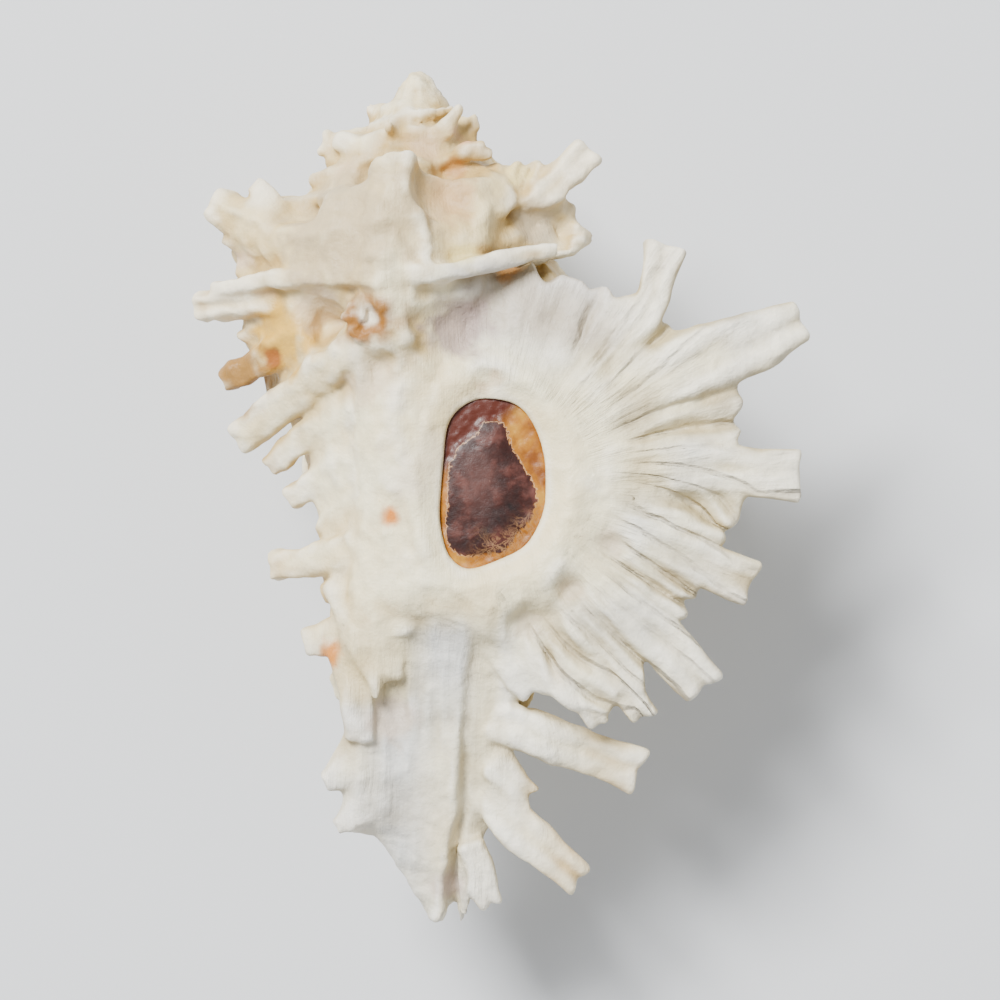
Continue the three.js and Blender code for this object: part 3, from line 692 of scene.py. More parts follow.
def ball(centre, radii, uneven=None):
    """Two corners and the shape of an ellipsoid, lumpy if noise is given."""
    def shape(x, y, z):
        rho = np.sqrt(sum(((p - c) / r) ** 2 for p, c, r in zip((x, y, z), centre, radii)))
        if uneven:
            places = np.stack([np.broadcast_to(p, rho.shape).ravel() for p in (x, y, z)], axis=1)
            rho = rho * (1 + 0.45 * uneven(places, 1.7).reshape(rho.shape))
        return ((rho - 1) * min(radii)).astype(np.float32)

    centre, radii = np.array(centre, float), np.array(radii, float)
    return centre - radii - 1, centre + radii + 1, shape


# Hollows: centre and half sizes.
HOLLOWS = [
    ((-3.2, 17.7, 21.0), (1.9, 1.5, 1.9)), ((2.1, 16.1, 18.4), (1.6, 1.1, 1.8)),
    ((-7.2, 6.9, 20.9), (1.7, 1.5, 1.3)), ((0.5, 13.5, 20.4), (1.3, 0.6, 1.6)),
    ((-6.1, -13.2, 17.2), (0.8, 1.9, 0.9)), ((-11.2, 10.8, 18.9), (2.1, 1.4, 1.7)),
    ((-13.2, 8.4, 16.9), (0.6, 0.6, 1.0)), ((-12.0, 17.0, 17.4), (1.9, 1.0, 1.7)),
    ((-2.6, 19.2, 18.0), (0.9, 0.6, 1.0)), ((-1.6, 21.6, 16.6), (0.6, 0.7, 0.9)),
    ((-7.6, 18.9, 17.2), (0.9, 0.6, 1.0)), ((-5.0, 20.8, 17.4), (1.6, 0.5, 0.9)),
    ((6.4, -2.6, 20.2), (0.9, 0.6, 0.9)), ((4.1, -5.1, 20.0), (0.8, 0.7, 0.9)),
    ((1.6, -7.1, 19.6), (0.9, 0.8, 0.9)), ((-2.4, 10.0, 21.0), (1.8, 1.4, 1.1)),
    ((-1.0, 6.5, 20.3), (0.3, 0.5, 0.5)), ((-0.4, 7.1, 20.3), (0.55, 0.28, 0.4)),
]
OVER_THE_LIP = 12  # the hollows from here on are cut after the lip is laid


def apex(clay):
    """The blunt first whorl, a small knob over a broader one."""
    x, y, z = APEX[0], APEX[1], AXIS_HEIGHT + 0.3
    clay.add(*ball((x, y - 1.1, z), (1.05, 1.65, 1.15)), soft=0.6)
    clay.add(*ball((x + 0.1, y - 2.6, z), (1.8, 1.5, 1.8)), soft=0.6)


def left_side(clay):
    """The front varix and its flank, with the ridges and scales that run out to the left."""
    chain(clay, FLANK, flat=1.0, soft=1.2)
    chain(clay, FRONT_WALL, flat=1.0, soft=1.2)
    chain(clay, CALLUS, flat=1.0, soft=1.4)
    chain(clay, LOWER_CALLUS, flat=1.0, soft=1.6)
    chain(clay, FRONT_PILLAR, flat=0.7, boxy=True, soft=0.5)
    chains(clay, LEFT_RIDGES, flat=0.8, boxy=True, cleft=0.1, soft=0.3)
    chains(clay, LEFT_STRIAE, flat=1.0, boxy=True, soft=0.2)
    chains(clay, SCALES, flat=0.5, boxy=True, soft=0.25)


def broken_spine(clay):
    """The stump of a spine that has broken off, filled with crumbs."""
    chain(clay, BROKEN_SPINE, flat=1.0, boxy=True, cleft=0.3, face=(0, 1, 0), soft=0.4)
    x0, y0, z0, _ = BROKEN_SPINE[-1]
    clay.cut(*ball((x0, y0, z0 + 0.1), (0.7, 0.7, 0.45)), soft=0.2)
    random = np.random.default_rng(4)
    for _ in range(CRUMBS):
        a = random.uniform(0, 2 * math.pi)
        r = 1.45 * math.sqrt(random.uniform(0.02, 1))
        size = random.uniform(0.16, 0.34)
        centre = (x0 + r * math.cos(a), y0 + r * math.sin(a), z0 - 0.15 + random.uniform(-0.12, 0.12))
        clay.add(*ball(centre, (size, size, 0.9 * size)), soft=0.08)


def well(clay):
    """The mouth, cut to the operculum's outline, with a rim that laps over the plate's edge."""
    def shape(x, y, z):
        bearing, reach = from_mouth(x, y)
        lap = RIM_LAP * smooth(z, OPERCULUM_TOP - 0.35, OPERCULUM_TOP)
        wall = reach - edge_reach(bearing) - EDGE_GAP + lap
        return np.maximum(wall, OPERCULUM_TOP - WELL_DEPTH - z).astype(np.float32)

    clay.cut((-5, -5, 15), (4, 8, 22), shape, soft=0.25)


def model_shell(step, cord_height, fold):
    """The whole shell in a block of space."""
    clay = Clay(step)
    uneven = Noise(3)
    coil(clay, cord_height)
    apex(clay)
    mound(clay)
    canal(clay)
    left_side(clay)
    chains(clay, UPPER_RIGHT, flat=0.6, boxy=True, seam=0.15, cleft=0.1, soft=0.3)
    fan(clay, fold)
    chains(clay, SPIRE_POINTS, flat=0.8, boxy=True, soft=0.3)
    dorsal_and_spire(clay)
    chains(clay, SPIRE_LEDGES, flat=1.0, boxy=True, soft=0.25)
    for centre, radii in HOLLOWS[:OVER_THE_LIP]:
        clay.cut(*ball(centre, radii, uneven), soft=0.9)
    broken_spine(clay)
    lip(clay, fold)
    chain(clay, SHOULDER_CORD, flat=1.2, boxy=True, cleft=0.1, soft=0.5)
    for frond, flat, cleft in zip(LIP_FRONDS, LIP_FLAT, LIP_CLEFT):
        chain(clay, frond, flat=flat, boxy=True, seam=0.2, cleft=cleft, soft=0.25)
    chains(clay, CANAL_TEETH, flat=0.6, boxy=True, cleft=0.1, soft=0.6)
    chains(clay, CANAL_FRONDS, flat=0.55, boxy=True, seam=0.25, cleft=0.35, soft=0.35)
    for centre, radii in HOLLOWS[OVER_THE_LIP:]:
        clay.cut(*ball(centre, radii, uneven), soft=0.9)
    well(clay)
    # the ground wears the feet flat
    clay.cut((-20, -27, -2), (20, 27, 1), lambda x, y, z: z + 0 * x + 0 * y, soft=0.1)
    return clay


# ---- from numbers to Blender meshes ----
def new_mesh(name, points, faces):
    """A smooth-shaded object from points in millimetres, with its place in its mesh."""
    mesh = bpy.data.meshes.new(name)
    mesh.from_pydata((points * MM).tolist(), [], faces)
    mesh.validate()
    thing = bpy.data.objects.new(name, mesh)
    bpy.context.collection.objects.link(thing)
    mesh.shade_smooth()
    return thing


def vectors(items, name):
    """A vector of each item, as rows."""
    values = np.empty(len(items) * 3)
    items.foreach_get(name, values)
    return values.reshape(-1, 3)


def carry(mesh, name, kind, values):
    """Stores a value for each vertex, for its material to read."""
    field = {"FLOAT": "value", "FLOAT_VECTOR": "vector", "FLOAT_COLOR": "color"}[kind]
    mesh.attributes.new(name, kind, "POINT").data.foreach_set(field, values.astype(np.float32).ravel())


def largest_part(points, quads):
    """Drops loose crumbs: keeps the connected surface with the most points."""
    label = np.arange(len(points))
    ends = np.vstack([quads[:, [0, 1]], quads[:, [1, 2]], quads[:, [2, 3]], quads[:, [3, 0]]])
    while True:
        low = np.minimum(label[ends[:, 0]], label[ends[:, 1]])
        fresh = label.copy()
        np.minimum.at(fresh, ends[:, 0], low)
        np.minimum.at(fresh, ends[:, 1], low)
        fresh = fresh[fresh]
        if (fresh == label).all():
            break
        label = fresh
    names, counts = np.unique(label, return_counts=True)
    keep = label == names[counts.argmax()]
    index = np.cumsum(keep) - 1
    return points[keep], index[quads[keep[quads[:, 0]]]]


def signed_volume(points, quads):
    """Positive if the faces look outward."""
    a, b, c, d = (points[quads[:, k]] for k in range(4))
    return (np.einsum("ij,ij->i", a, np.cross(b, c)) + np.einsum("ij,ij->i", a, np.cross(c, d))).sum() / 6


def vertex_normals(points, quads):
    a, b, c, d = (points[quads[:, k]] for k in range(4))
    face = np.cross(c - a, d - b)
    out = np.zeros_like(points)
    for k in range(4):
        np.add.at(out, quads[:, k], face)
    return out / np.maximum(np.linalg.norm(out, axis=1, keepdims=True), 1e-9)


def coil_turn(points):
    """Turn round the coil's axis, reach from it and distance down from the apex."""
    down = APEX[1] - points[:, 1]
    rx, rz = points[:, 0] - axis_x(down), points[:, 2] - AXIS_HEIGHT
    return np.degrees(np.arctan2(rz, rx)), np.hypot(rx, rz), down


def lip_share(points):
    """1 on the web and fronds of the outer lip, 0 elsewhere."""
    bearing, reach = from_mouth(points[:, 0], points[:, 1])
    share = smooth(points[:, 2], 15.5, 17.0) * smooth(reach, 4.5, 6.5)
    share *= smooth(bearing, -92, -84) * (1 - smooth(bearing, 96, 104))
    return share * (1 - smooth(points[:, 1], 13.0, 14.2) * (points[:, 0] < 6))


def canal_share(points):
    """1 on the face of the canal, 0 elsewhere."""
    x, y, z = points.T
    return smooth(-y, 6.0, 8.0) * (1 - smooth(x, 0.5, 2.5)) * smooth(z, 11, 13)


def carve_detail(points, normals, noise):
    """Growth lines, striations and lumps, moved along the normals."""
    turn, reach, down = coil_turn(points)
    bearing, out = from_mouth(points[:, 0], points[:, 1])
    x, y, z = points.T
    on_lip, on_canal = lip_share(points), canal_share(points)
    body = (1 - on_lip) * (1 - on_canal)
    fine = np.stack([bearing * 0.5, out * 0.12, z * 0.2], axis=1)
    spiral = np.stack([turn * 0.25, down * 0.4, reach * 0.4], axis=1)
    radial = np.stack([bearing * 0.2, out * 0.22, z * 0.2], axis=1)
    sway = 0.5 * noise(points, 2.0)
    lengthwise = np.stack([x * 2.2 + sway, y * 0.25 + sway, z * 0.3], axis=1)
    shift = 0.06 * noise(spiral, 1.0) * body + 0.12 * noise(lengthwise, 1.0) * on_canal
    calm = smooth(out, 6.5, 9.5) * (1 - 0.6 * smooth(bearing, 58, 72))
    shift += (0.10 * noise(radial, 1.0) + 0.08 * noise(fine, 1.0)) * on_lip * calm
    canal_fronds = smooth(-y, 12, 13.5) * smooth(x, -0.5, 1.5)
    facing = smooth(z, 13.0, 15.5)  # the side with the mouth, less worn than the back
    rough = (1 - 0.65 * np.maximum(np.maximum(on_lip, on_canal), canal_fronds)) * (1 - 0.5 * facing)
    creased = 0.5 - np.abs(noise(points, 1.5)) * 2
    shift += rough * (0.12 * creased + 0.12 * noise(points + 31, 0.75) + 0.09 * noise(points + 5, 0.42))
    beyond = out - edge_reach(bearing)
    free = smooth(z, 0.15, 0.8) * np.where(z > 16, smooth(beyond, 0.3, 2.0), 1)  # not the feet nor the rim
    warp = np.stack([noise(points + offset, 2.4) for offset in (11, 47, 83)], axis=1) * 0.2
    small = np.stack([noise(points + offset, 1.0) for offset in (13, 59, 91)], axis=1)
    warp += small * (0.12 - 0.05 * facing)[:, None]
    return points + (normals * shift[:, None] + warp) * free[:, None]


# ---- materials ----
def linear(code):
    """An sRGB hex colour as linear RGBA."""
    parts = [int(code[i:i + 2], 16) / 255 for i in (1, 3, 5)]
    return (*[c / 12.92 if c <= 0.04045 else ((c + 0.055) / 1.055) ** 2.4 for c in parts], 1.0)


def rgb(code):
    return np.array(linear(code)[:3])


def start_material(name):
    """A material with only a Principled surface."""
    material = bpy.data.materials.new(name)
    material.use_nodes = True
    tree = material.node_tree
    tree.nodes.clear()
    output = tree.nodes.new("ShaderNodeOutputMaterial")
    surface = tree.nodes.new("ShaderNodeBsdfPrincipled")
    tree.links.new(surface.outputs[0], output.inputs["Surface"])
    return material, tree, surface


def plug(tree, socket, value):
    """Gives an input a value, or a link if the value is another node's output."""
    if isinstance(value, bpy.types.NodeSocket):
        tree.links.new(value, socket)
    else:
        socket.default_value = value


def node(tree, kind, settings=None, **inputs):
    """Adds a node with settings and inputs; _0, _1 and _2 stand for its first, second and third input."""
    made = tree.nodes.new(kind)
    for key, value in (settings or {}).items():
        setattr(made, key, value)
    for key, value in inputs.items():
        plug(tree, made.inputs[int(key[1:]) if key[0] == "_" else key], value)
    return made


def finish_surface(tree, surface, **inputs):
    """Gives the surface's inputs, whose names are written with _ for a space."""
    for key, value in inputs.items():
        plug(tree, surface.inputs[key.replace("_", " ")], value)


def carried(tree, name, output="Fac"):
    """What each vertex carries under a name."""
    return node(tree, "ShaderNodeAttribute", {"attribute_name": name}).outputs[output]


def math_node(tree, operation, *values, clamp=False):
    inputs = {f"_{i}": value for i, value in enumerate(values)}
    return node(tree, "ShaderNodeMath", {"operation": operation, "use_clamp": clamp}, **inputs).outputs[0]


def clouds(tree, where, size, kind="FBM", **inputs):
    """Noise with features of a size, in the units of its coordinates."""
    noise = node(tree, "ShaderNodeTexNoise", {"noise_type": kind}, Vector=where, Scale=1 / size, **inputs)
    return noise.outputs[0]


def relief(tree, height, strength, depth, invert=False, **inputs):
    """A bump of a depth in millimetres; its Normal is the bump that it lies on."""
    inputs.update(Height=height, Strength=strength, Distance=depth * MM)
    return node(tree, "ShaderNodeBump", {"invert": invert}, **inputs).outputs[0]


def ramp(tree, value, stops):
    """A value turned into a level, or a colour, through stops of (value, level or sRGB hex)."""
    made = node(tree, "ShaderNodeValToRGB", _0=value)
    elements = made.color_ramp.elements
    while len(elements) < len(stops):
        elements.new(0.5)
    for element, (place, level) in zip(elements, stops):
        element.position = place
        element.color = linear(level) if isinstance(level, str) else (level, level, level, 1)
    return made.outputs[0]


def mix(tree, share, a, b, blend="MIX"):
    made = tree.nodes.new("ShaderNodeMix")
    made.data_type, made.blend_type = "RGBA", blend
    for place, value in ((0, share), (6, a), (7, b)):
        plug(tree, made.inputs[place], linear(value) if isinstance(value, str) else value)
    return made.outputs[2]


def shell_material():
    """Aragonite, grown in layers and bleached: chalky white, softly translucent where it is thin."""
    material, tree, surface = start_material("aragonite_shell")
    where = node(tree, "ShaderNodeTexCoord").outputs["Object"]
    streak, pleat, crease = (carried(tree, name) for name in ("streak", "pleat", "crease"))
    mottle = clouds(tree, where, 0.8 * MM, Detail=5.0, Roughness=0.6)
    specks = clouds(tree, where, 0.15 * MM, Detail=2.0)
    streaks = clouds(tree, carried(tree, "grain", "Vector"), 1.0, Detail=4.0, Roughness=0.65)
    tone = ramp(tree, mottle, [(0.3, 0.86), (0.66, 1.0)])
    colour = mix(tree, 1.0, carried(tree, "tint", "Color"), tone, "MULTIPLY")
    line = ramp(tree, streaks, [(0.3, 0.84), (0.52, 1.0)])
    colour = mix(tree, streak, colour, mix(tree, 1.0, colour, line, "MULTIPLY"))
    # painted shade along the sharp bottoms of the creases between the pleats of the lip, whose lines also
    # make a bump
    shaded_crease = ramp(tree, math_node(tree, "PINGPONG", pleat, 0.5), [(0.0, 1.0), (0.05, 0.7), (0.13, 0.0)])
    shaded_crease = math_node(tree, "MULTIPLY", shaded_crease, crease, clamp=True)
    colour = mix(tree, math_node(tree, "MULTIPLY", shaded_crease, 0.6), colour, "#a89c86")
    # from the broad to the fine: creases, growth lines, worn crust, grit and specks
    seams = relief(tree, shaded_crease, 0.8, 0.3, invert=True)
    lines = relief(tree, math_node(tree, "MULTIPLY", streaks, streak), 0.8, 0.22, Normal=seams)
    crust = clouds(tree, where, 1.3 * MM, "RIDGED_MULTIFRACTAL", Detail=5.0, Roughness=0.55, Distortion=0.3)
    pits = relief(tree, crust, 0.7, 0.2, Normal=lines)
    grit = clouds(tree, where, 0.5 * MM, Detail=3.0, Roughness=0.6)
    gritty = relief(tree, grit, 0.6, 0.14, Normal=pits)
    finish_surface(
        tree, surface, Base_Color=colour, Roughness=ramp(tree, mottle, [(0.3, 0.42), (0.7, 0.62)]), IOR=1.53,
        Specular_IOR_Level=0.4, Subsurface_Weight=0.06, Subsurface_Radius=(1.0, 0.85, 0.7),
        Subsurface_Scale=0.9 * MM, Normal=relief(tree, specks, 0.35, 0.04, Normal=gritty))
    return material


def operculum_material():
    """Conchin, a horn laid down in rings: dark where thick, amber where thin, with some gloss."""
    material, tree, surface = start_material("horn_operculum")
    where = node(tree, "ShaderNodeTexCoord").outputs["Object"]
    core, edge, flaky, red, sheen = (carried(tree, name) for name in OPERCULUM_MARKS)
    cloud = clouds(tree, where, 1.5 * MM, Detail=6.0, Roughness=0.6)
    veins = clouds(tree, where, 0.6 * MM, Detail=6.0, Roughness=0.7, Distortion=1.5)
    wander = math_node(tree, "MULTIPLY_ADD", veins, 0.8, core)  # the core's edge wanders by 0.4 mm
    border = ramp(tree, cloud, [(0.35, "#744010"), (0.52, "#9a6218"), (0.68, "#b3822e")])
    border = mix(tree, red, border, "#481c10")
    rim = math_node(tree, "MULTIPLY", ramp(tree, edge, [(0.0, 1.0), (0.22, 0.0)]), 0.5)
    border = mix(tree, rim, border, "#a8622c")
    dark = ramp(tree, cloud, [(0.3, "#120504"), (0.5, "#2e110b"), (0.72, "#603830")])
    # painted sheen: a greyish reflection mixed into the dark core where the sheen mark is high
    dark = mix(tree, sheen, dark, "#5e3f39")
    body = mix(tree, ramp(tree, wander, [(0.38, 0.0), (0.52, 1.0)]), border, dark)
    flakes = math_node(tree, "MULTIPLY", ramp(tree, veins, [(0.45, 0.0), (0.5, 1.0), (0.55, 0.0)]), flaky)
    body = mix(tree, math_node(tree, "MULTIPLY", flakes, 0.8), body, "#96704a")
    # a hairline crack along the upper half of the core's edge
    crack = ramp(tree, wander, [(0.40, 0.0), (0.44, 1.0), (0.48, 0.0)])
    crack = math_node(tree, "MULTIPLY", crack, math_node(tree, "SUBTRACT", 0.9, flaky), clamp=True)
    body = mix(tree, crack, body, "#c49a72")
    dents = relief(tree, cloud, 0.35, 0.2)
    finish_surface(
        tree, surface, Base_Color=body, Roughness=ramp(tree, veins, [(0.35, 0.34), (0.65, 0.5)]), IOR=1.45,
        Specular_IOR_Level=0.35, Coat_Weight=0.06, Coat_Roughness=0.16,
        Normal=relief(tree, veins, 0.4, 0.05, Normal=dents))
    return material


def floor_material(colour):
    """Matte paper, which only takes the shadow."""
    material, tree, surface = start_material("matte_paper")
    finish_surface(tree, surface, Base_Color=linear(colour), Roughness=0.9, Specular_IOR_Level=0.2)
    return material


# Stains and painted shade: x, y, z, radius, colour, strength. The rows at (-7.3, 7.0), (-3.0, 17.6), (2.0,
# 16.2), (-2.3, 10.0), (6.5, -2.6), (4.1, -5.2) and (1.6, -7.1) are painted shade in hollows and pits, and the
# one at (-6.3, -12.8) is painted shadow under the ledge of the scales.
STAINS_AND_PAINTED_SHADE = [
    (-7.6, 10.5, 21.2, 2.1, "#94601c", 1.0), (-7.5, 10.6, 21.4, 0.7, "#ece3cd", 0.95),
    (-7.3, 7.0, 18.6, 2.0, "#d2bd9b", 0.7), (-6.4, -0.9, 19.0, 0.75, "#d98126", 1.0),
    (-7.5, -7.0, 17.6, 0.5, "#b98a55", 0.9), (-9.7, -8.9, 16.2, 0.95, "#d48634", 1.0),
    (-12.6, 9.5, 15.6, 2.5, "#d4a63c", 0.95), (-15.4, 7.3, 14.6, 2.2, "#96691c", 0.95),
    (-13.2, 8.3, 15.4, 0.7, "#98591c", 1.0), (-2.0, 14.0, 20.6, 1.1, "#e6d690", 0.6),
    (-2.7, 19.4, 16.8, 0.8, "#b07c3c", 0.8), (-3.0, 17.6, 19.6, 1.9, "#c49e6c", 0.85),
    (0.5, 13.5, 18.4, 0.95, "#a87a44", 0.95), (-2.3, 10.0, 19.6, 2.4, "#a08b84", 0.85),
    (-4.6, 2.0, 18.4, 2.4, "#dccdb4", 0.5), (-6.3, -12.8, 16.0, 1.8, "#cbb8a2", 0.7),
    (-8.9, 19.0, 15.6, 1.0, "#cfae8c", 0.6), (-2.0, 21.4, 16.4, 0.9, "#c98a66", 0.8),
    (-4.4, 20.6, 16.4, 1.3, "#d0b08c", 0.6), (-8.5, 15.8, 19.0, 5.2, "#c2ae86", 0.9),
    (-1.0, 6.5, 19.9, 0.55, "#c8ad86", 0.7), (-0.3, 7.1, 19.9, 0.55, "#c8ad86", 0.6),
    (2.0, 16.2, 16.6, 1.7, "#bfb094", 0.75), (-10.5, 11.4, 17.4, 1.8, "#d6c0a2", 0.6),
    (-1.2, 15.2, 19.0, 0.9, "#e2cf97", 0.7), (1.0, 19.2, 17.0, 0.9, "#e6d08a", 0.7),
    (3.6, -10.2, 18.0, 1.0, "#d8c7a6", 0.6), (6.5, -2.6, 18.8, 1.1, "#c9b89c", 0.7),
    (4.1, -5.2, 18.6, 1.1, "#c9b89c", 0.7), (1.6, -7.1, 18.4, 1.2, "#c9b89c", 0.6),
    (-3.0, -22.5, 13.6, 1.2, "#c4b0a4", 0.7), (-13.6, 12.2, 15.4, 1.0, "#cfa878", 0.7),
    (-14.8, 14.2, 14.0, 1.0, "#d4b9a0", 0.6), (-10.6, -4.2, 15.4, 0.6, "#dcc8a0", 0.5),
]


def shelter(points, normals, clay):
    """How shut in each vertex is, by how near the shell comes again, and how sharp an edge it is on."""
    random = np.random.default_rng(5)
    shut = np.zeros(len(points))
    for _ in range(SHELTER_TRIES):
        aim = normals + 0.6 * random.normal(size=3)
        aim /= np.maximum(np.linalg.norm(aim, axis=1, keepdims=True), 1e-6)
        for length, weight in ((0.5, 0.35), (1.1, 0.35), (2.4, 0.3)):
            clear = clay.sample(points + aim * length) / length
            shut += weight / SHELTER_TRIES * np.clip(1 - clear, 0, 1.3)
    hollow = smooth(shut, 0.22, 0.8)
    depths = [clay.sample(points - normals * length) / length for length in (0.5, 1.0)]
    edge = sum(np.clip(1 + depth, 0, 1) for depth in depths) / len(depths)
    return hollow, smooth(edge, 0.15, 0.6) * (1 - hollow)


def toward(tint, code, share):
    """The tint of each vertex, moved toward a colour by its share."""
    share = share[:, None]
    return tint * (1 - share) + rgb(code) * share


def shell_tint(points, hollow, edge, palette, noise):
    """The colour of each vertex: clean or yellowed shell, thin sheets, painted shade in the hollows, and
    stains, among them patches of painted shade.
    """
    x, y, z = points.T
    bearing, out = from_mouth(x, y)
    on_lip, on_canal = lip_share(points), canal_share(points)
    older = smooth(y, 12.5, 18)  # the spire has yellowed most
    yellowed = 0.55 + 0.7 * noise(points, 4.5) + 0.4 * noise(points, 1.6) - 0.6 * on_lip + 0.5 * older
    tint = np.tile(rgb(palette.chalk_hex), (len(points), 1))
    tint = toward(tint, palette.cream_hex, np.clip(yellowed, 0, 1))
    thin = np.clip(0.35 + 0.9 * noise(points + 7, 3.0) + 0.6 * smooth(bearing, 55, 75), 0, 1)
    tint = toward(tint, palette.sheet_hex, on_lip * thin * smooth(out, 6, 8.5))
    scales = smooth(-x, 5.0, 5.8) * (1 - smooth(-y, 11.4, 12.4))
    right_plate = smooth(x, -2.4, -1.0)
    bluish = 0.85 * on_canal * np.clip(0.7 + 0.6 * noise(points + 3, 3.0), 0, 1)
    tint = toward(tint, palette.canal_hex, bluish * (1 - 0.9 * scales) * (1 - 0.65 * right_plate))
    upper_web = 0.9 * on_lip * smooth(y + 0.2 * x, 8.6, 10.6) * (1 - smooth(x, 5, 9))
    tint = toward(tint, UPPER_WEB_HEX, upper_web)
    cool = np.maximum(on_lip, on_canal)[:, None]
    shade = rgb(WARM_SHADE_HEX) * (1 - cool) + rgb(COOL_SHADE_HEX) * cool
    near_mouth = (1 - smooth(out, 6.5, 9.0)) * smooth(z, 16, 17.5)
    # painted shade: the tint darkens toward the shade colours where the vertex is shut in, less near the
    # mouth and on the canal
    painted_shade = hollow * (0.9 + 0.6 * noise(points + 41, 1.3)) * (1 - 0.5 * near_mouth) * (1 - 0.35 * on_canal)
    painted_shade = np.clip(painted_shade, 0, 1)[:, None]
    tint = tint * (1 - painted_shade) + tint * shade * painted_shade
    tint = tint + (1 - tint) * 0.35 * edge[:, None]
    uneven = 0.3 * noise(points, 1.0) + 0.25 * noise(points + 9, 0.45)
    # stains, and patches of painted shade in hollows and pits and of painted shadow under the scales' ledge
    for *place, radius, code, strength in STAINS_AND_PAINTED_SHADE:
        away = np.linalg.norm((points - place) * (1, 1, 0.6), axis=1) / radius
        tint = toward(tint, code, strength * (1 - smooth(away + uneven, 0.5, 1.1)))
    return tint


def shell_grain(points, noise):
    """Coordinates along the growth of each vertex, and how strongly its growth lines show."""
    x, y, z = points.T
    bearing, out = from_mouth(x, y)
    on_lip, on_canal = lip_share(points), canal_share(points)
    turn, reach, down = coil_turn(points)
    along = np.stack([turn * 0.9, down * 0.35, reach * 0.35], axis=1)
    radial = np.stack([bearing * 0.55, out * 0.35, z * 0.3], axis=1)
    sway = 0.6 * noise(points, 2.0)
    lengthwise = np.stack([x * 3.4 + sway, y * 0.35 + sway, z * 0.5], axis=1)
    grain = np.where((on_lip > 0.5)[:, None], radial, np.where((on_canal > 0.5)[:, None], lengthwise, along))
    fade = smooth(np.abs(2 * on_lip - 1), 0.1, 0.9) * smooth(np.abs(2 * on_canal - 1), 0.1, 0.9)
    fade *= (0.35 + 0.65 * np.maximum(on_lip, on_canal)) * np.clip(0.55 + 0.8 * noise(points + 17, 2.5), 0, 1)
    return grain, fade


def lip_creases(points, normals, noise):
    """The place of each vertex among the creases of the lip, and how deep a crease is there."""
    bearing, out = from_mouth(points[:, 0], points[:, 1])
    place, depth, _ = among_creases(bearing, out)
    deep = lip_share(points) * depth * smooth(out - edge_reach(bearing), 3.2, 5.5)
    deep *= 1 - 0.7 * smooth(bearing, 58, 72)
    last = len(CREASES) - 1
    deep *= smooth(place, 0.02, 0.12) * (1 - smooth(place, last - 0.12, last - 0.02))
    deep *= np.clip(0.75 + 0.8 * noise(points + 23, 1.8), 0, 1.2) * smooth(normals[:, 2], 0.0, 0.4)
    return place + 0.07 * noise(points + 29, 0.8), deep


def paint_shell(mesh, clay, palette, noise):
    """Gives each vertex its tint, its coordinates along its growth and its creases."""
    points, normals = vectors(mesh.vertices, "co") / MM, vectors(mesh.vertices, "normal")
    tint = shell_tint(points, *shelter(points, normals, clay), palette, noise)
    grain, fade = shell_grain(points, noise)
    pleat, crease = lip_creases(points, normals, noise)
    carry(mesh, "tint", "FLOAT_COLOR", np.hstack([tint, np.ones((len(points), 1))]))
    carry(mesh, "grain", "FLOAT_VECTOR", grain)
    for name, values in (("streak", fade), ("pleat", pleat), ("crease", crease)):
        carry(mesh, name, "FLOAT", values)


# ---- the operculum ----
def operculum_relief(flat):
    """Height of the operculum's face at each place, and what its material reads there."""
    x, y = flat.T
    noise = Noise(23)
    spots = np.column_stack([flat, np.zeros(len(flat))])
    edge, core = inset(flat, OPERCULUM_OUTLINE), inset(flat, CORE_OUTLINE)
    flaky = smooth(-(y - 0.7 * x) + 0.9 * noise(spots + 3, 1.5), 0.6, 2.4)
    red = smooth(y - 0.9 * x, 3.6, 5.2)
    dome = 1 - np.exp(-np.maximum(core + 0.3, 0) / 0.8)
    top = OPERCULUM_TOP + OPERCULUM_DOME * dome - 0.1 * (1 - smooth(edge, -0.05, 0.3))
    top += 0.06 * noise(spots, 1.6) + (0.01 + 0.07 * flaky) * noise(spots + 5, 0.45)
    top += 0.04 * noise(spots + 8, 0.3) * (1 - smooth(core, -0.2, 0.2))
    # painted sheen: a pale patch of reflected light on the upper left of the core, not wear
    worn = np.exp(-((x + 1.2) / 1.1) ** 2 - ((y - 1.6) / 1.7) ** 2)
    sheen = np.clip(worn * (0.4 + 0.9 * noise(spots + 13, 0.9)), 0, 0.4)
    return top, zip(OPERCULUM_MARKS, (core, edge, flaky, red, sheen))


def plate_faces(n, rings):
    """Faces of a closed plate of n points a ring: the rings of its face, those of its back, and two hubs."""
    half = n * rings
    outer = half - n
    faces = []
    for i in range(n):
        j = (i + 1) % n
        for first in range(0, outer, n):
            a, b, c, d = first + i, first + j, first + n + j, first + n + i
            faces += [[d, c, b, a], [half + a, half + b, half + c, half + d]]
        faces += [[i, j, 2 * half], [2 * half + 1, half + j, half + i]]
        faces.append([half + outer + i, half + outer + j, outer + j, outer + i])
    return faces


def face_outward(context, thing):
    context.view_layer.objects.active = thing
    thing.select_set(True)
    bpy.ops.object.mode_set(mode="EDIT")
    bpy.ops.mesh.select_all(action="SELECT")
    bpy.ops.mesh.normals_make_consistent(inside=False)
    bpy.ops.object.mode_set(mode="OBJECT")


